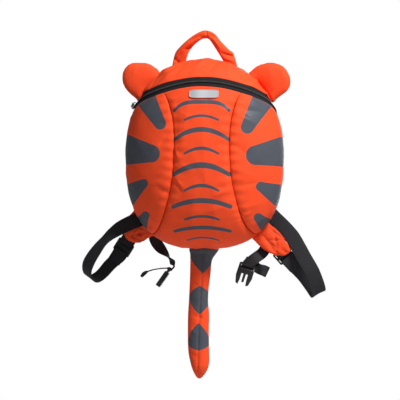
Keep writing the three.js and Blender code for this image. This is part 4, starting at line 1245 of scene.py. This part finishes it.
def twisted(rings, top, bottom, end, most):
    """Rings turned about their own run between two heights in mm, and back again by the third."""
    middle = rings.mean(axis=1, keepdims=True)
    run = unit(np.gradient(middle, axis=0))
    height = middle[..., 2:] / MM
    share = np.clip((top - height) / (top - bottom), 0, 1)
    share = share * np.clip((height - end) / (bottom - end), 0, 1)
    share[np.argmax(height[:, 0, 0] < end):] = 0
    angle = math.radians(most) * share
    arm = rings - middle
    return (middle + arm * np.cos(angle) + np.cross(run, arm) * np.sin(angle)
            + run * (run * arm).sum(axis=2, keepdims=True) * (1 - np.cos(angle)))


def webbing_sheet(name, middle, across, through):
    """Webbing along a line, with its half width and half thickness there as vectors; its length
    and width are its UV."""
    points = (middle[:, None] + across[:, None] * STRAP_SECTION[:, :1]
              + through[:, None] * STRAP_SECTION[:, 1:])
    length = np.concatenate([[0], np.cumsum(np.linalg.norm(np.diff(middle, axis=0), axis=1))])
    half_width = np.linalg.norm(across, axis=1).mean()
    uv = np.stack(np.broadcast_arrays(length[:, None], half_width * STRAP_SECTION[:, 0]), axis=-1)
    piece = sheet_piece(name, points, black_webbing, uv, closed_round=True)
    with shaped(piece.data) as shape:
        bmesh.ops.holes_fill(shape, edges=[e for e in shape.edges if e.is_boundary])
        bmesh.ops.recalc_face_normals(shape, faces=shape.faces)
    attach(piece, "root")
    return piece


for node in ("shoulder_webbing_left", "shoulder_webbing_right", "chest_strap_left", "chest_strap_right",
             "buckle_tab_left", "buckle_tab_right"):
    rings = rings_of(node, 4, lambda co: -co.z)
    first_side, second_side = (np.linalg.norm(rings[0, i + 1] - rings[0, i]) for i in (0, 1))
    if first_side <= second_side:
        rings = np.roll(rings, -1, axis=1)
    fine = spline(with_bends(node, rings), len(rings) * STRAP_FINENESS)
    if node in STRAP_TWISTS:
        fine = twisted(fine, *STRAP_TWISTS[node])
    across = (fine[:, 1] + fine[:, 2] - fine[:, 0] - fine[:, 3]) / 4
    through = (fine[:, 2] + fine[:, 3] - fine[:, 0] - fine[:, 1]) / 4 * STRAP_THICKENED.get(node, 1)
    strap = webbing_sheet(f"{node}_woven", fine.mean(axis=1), across, through)
    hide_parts(node)

# Hardware: black moulded ladder locks and the two halves of the side-release chest buckle, and the
# zip's plated slider and ring. The edges are a little rounded; each row ends with how much, and the
# material slot.
black_plastic = plain_material("black moulded plastic", (0.014, 0.014, 0.016, 1), 0.34)
dark_metal = plain_material("dark plated metal", (0.23, 0.23, 0.25, 1), 0.32, 0.9)
bright_metal = plain_material("bright plated metal", (0.72, 0.73, 0.75, 1), 0.22, 1.0)
HARDWARE = [
    ("ladder_lock_left", black_plastic, 0.7 * MM, "buckle_plastic"),
    ("ladder_lock_right", black_plastic, 0.7 * MM, "buckle_plastic"),
    ("buckle_socket", black_plastic, 0.9 * MM, "buckle_plastic"),
    ("buckle_plug", black_plastic, 0.6 * MM, "buckle_plastic"),
    ("zip_slider", dark_metal, 0.9 * MM, "zip_metal"),
]
for node, material, rounding, slot_name in HARDWARE:
    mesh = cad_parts[node].data.copy()
    mesh.materials.clear()
    mesh.materials.append(material)
    part = bpy.data.objects.new(f"{node}_moulded", mesh)
    bpy.context.scene.collection.objects.link(part)
    with shaped(mesh) as shape:
        bmesh.ops.remove_doubles(shape, verts=shape.verts, dist=1e-6)
        bmesh.ops.dissolve_limit(shape, angle_limit=math.radians(2), verts=shape.verts,
                                 edges=shape.edges)
    edges = part.modifiers.new("rounded edges", "BEVEL")
    edges.width = rounding
    edges.segments = 3
    edges.angle_limit = math.radians(35)
    edges.harden_normals = True
    mesh.polygons.foreach_set("use_smooth", [True] * len(mesh.polygons))
    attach(part, "root")
    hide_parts(node)
ring_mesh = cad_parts["zip_pull"].data
ring_mesh.materials.clear()
ring_mesh.materials.append(bright_metal)

# Webbing over the bar of each ladder lock and of the plug, threaded up through one slot and down
# through the next: the middle in mm, the way it runs, the way its width runs, and its width in mm.
BAR_WRAPS = {
    "ladder_lock_left": ((-110.3, 6.7, -277), (-0.53, 0, -0.85), (0.72, -0.4, -0.5), 22.5),
    "ladder_lock_right": ((104, 2.9, -285.9), (0.66, 0, -0.75), (-0.75, 0, -0.66), 20),
    "chest_plug": ((52.8, 3.0, -303.5), (-0.45, 0, -0.9), (0.9, 0, -0.45), 13),
}
WRAP_LENGTH = 15 * MM
WRAP_RISE = 2.4 * MM
WRAP_HALF_THROUGH = 0.7 * MM


def webbing_run(name, middles, broad, width, half_through):
    """A short length of webbing through some points, its width running one way."""
    run = unit(np.gradient(middles, axis=0))
    side = unit(np.array(broad) - run * (run @ np.array(broad))[:, None])
    half_through = np.broadcast_to(half_through, len(middles))[:, None]
    webbing_sheet(name, middles, side * width / 2, np.cross(run, side) * half_through)


for wrap_name, (middle, along, broad, width) in BAR_WRAPS.items():
    along = unit(np.array(along))
    share = np.linspace(-1, 1, 17)[:, None]
    hump = WRAP_RISE * (np.cos(math.pi * share) + 0.2) / 2
    middles = np.array(middle) * MM + along * share * WRAP_LENGTH / 2 + np.cross(along, broad) * hump
    webbing_run(f"{wrap_name}_webbing", middles, broad, width * MM, WRAP_HALF_THROUGH)

# The left chest strap's loose tail stands out edge-on from its buckle and ends in a folded hem: each
# stop holds across, up and half the thickness, in mm.
TAIL_STOPS = np.array([(-50, -304.5, 0.8), (-60, -305, 0.8), (-70, -306.6, 0.8), (-77, -308.8, 0.8),
                       (-80, -310, 2.0), (-83, -312.4, 2.4), (-86, -316, 1.6)]) * MM
TAIL_WIDTH = 13 * MM
stop = np.linspace(0, len(TAIL_STOPS) - 1, 37)
across, up, half_through = (np.interp(stop, range(len(TAIL_STOPS)), column) for column in TAIL_STOPS.T)
forward = np.full_like(across, sum(corner.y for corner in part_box("buckle_socket")) / 2)
webbing_run("chest_strap_left_tail", np.stack([across, forward, up], axis=1), (0, 1, 0), TAIL_WIDTH,
            half_through)

# Stage: a plain pale floor far below the hanging bag, a white room, one lamp high on the right, a
# weak one in front and one behind, and a long lens nearly square on to the front.
VIEW_TURN = math.radians(3.75)
VIEW_DISTANCE = 8.0
VIEW_SPAN = 0.532
VIEW_CENTRE_ACROSS = -8 * MM
VIEW_CENTRE_Z = -214 * MM
FLOOR_Z = -0.75
FLOOR_HALF = 4.0
floor_corners = [(i * FLOOR_HALF, j * FLOOR_HALF, FLOOR_Z)
                 for i, j in ((-1, -1), (1, -1), (1, 1), (-1, 1))]
floor = mesh_piece("studio_floor", floor_corners, [(0, 1, 2, 3)],
                   plain_material("pale floor", (0.7, 0.7, 0.7, 1), 0.9))

# The room lights the bag softly, and is plain white where it is seen.
ROOM_LIGHT = 0.22
world = bpy.data.worlds.new("white room")
world.use_nodes = True
room = world.node_tree
background = room.nodes["Background"]
background.inputs["Color"].default_value = (1, 1, 1, 1)
seen = Amount(room, new_node(room, "ShaderNodeLightPath").outputs["Is Camera Ray"])
feed(room, background.inputs["Strength"], seen * (1 - ROOM_LIGHT) + ROOM_LIGHT)
bpy.context.scene.world = world

# Each lamp's row holds its name, where it stands, what it is aimed at, its size and its power.
LAMPS = [
    ("key", (0.97, -0.92, 1.3), (0, 0, -0.1), 0.5, 60),
    ("fill", (-0.5, -2.0, 0.3), (0, 0, -0.2), 1.2, 0.6),
    ("back", (0.3, 2.8, 0.1), (0, 0, -0.3), 1.6, 22),
]
for name, place, aim, size, power in LAMPS:
    light = bpy.data.lights.new(name, "AREA")
    light.size = size
    light.energy = power
    holder = bpy.data.objects.new(name, light)
    holder.location = place
    holder.rotation_euler = (Vector(aim) - Vector(place)).to_track_quat("-Z", "Y").to_euler()
    bpy.context.scene.collection.objects.link(holder)

look = Vector((-math.sin(VIEW_TURN), math.cos(VIEW_TURN), 0))
right = Vector((math.cos(VIEW_TURN), math.sin(VIEW_TURN), 0))
camera = bpy.data.objects.new("camera", bpy.data.cameras.new("camera"))
camera.data.lens = camera.data.sensor_width * VIEW_DISTANCE / VIEW_SPAN
camera.location = right * VIEW_CENTRE_ACROSS - look * VIEW_DISTANCE + Vector((0, 0, VIEW_CENTRE_Z))
camera.rotation_euler = look.to_track_quat("-Z", "Y").to_euler()
bpy.context.scene.collection.objects.link(camera)
bpy.context.scene.camera = camera
bpy.context.scene.view_settings.view_transform = "Standard"
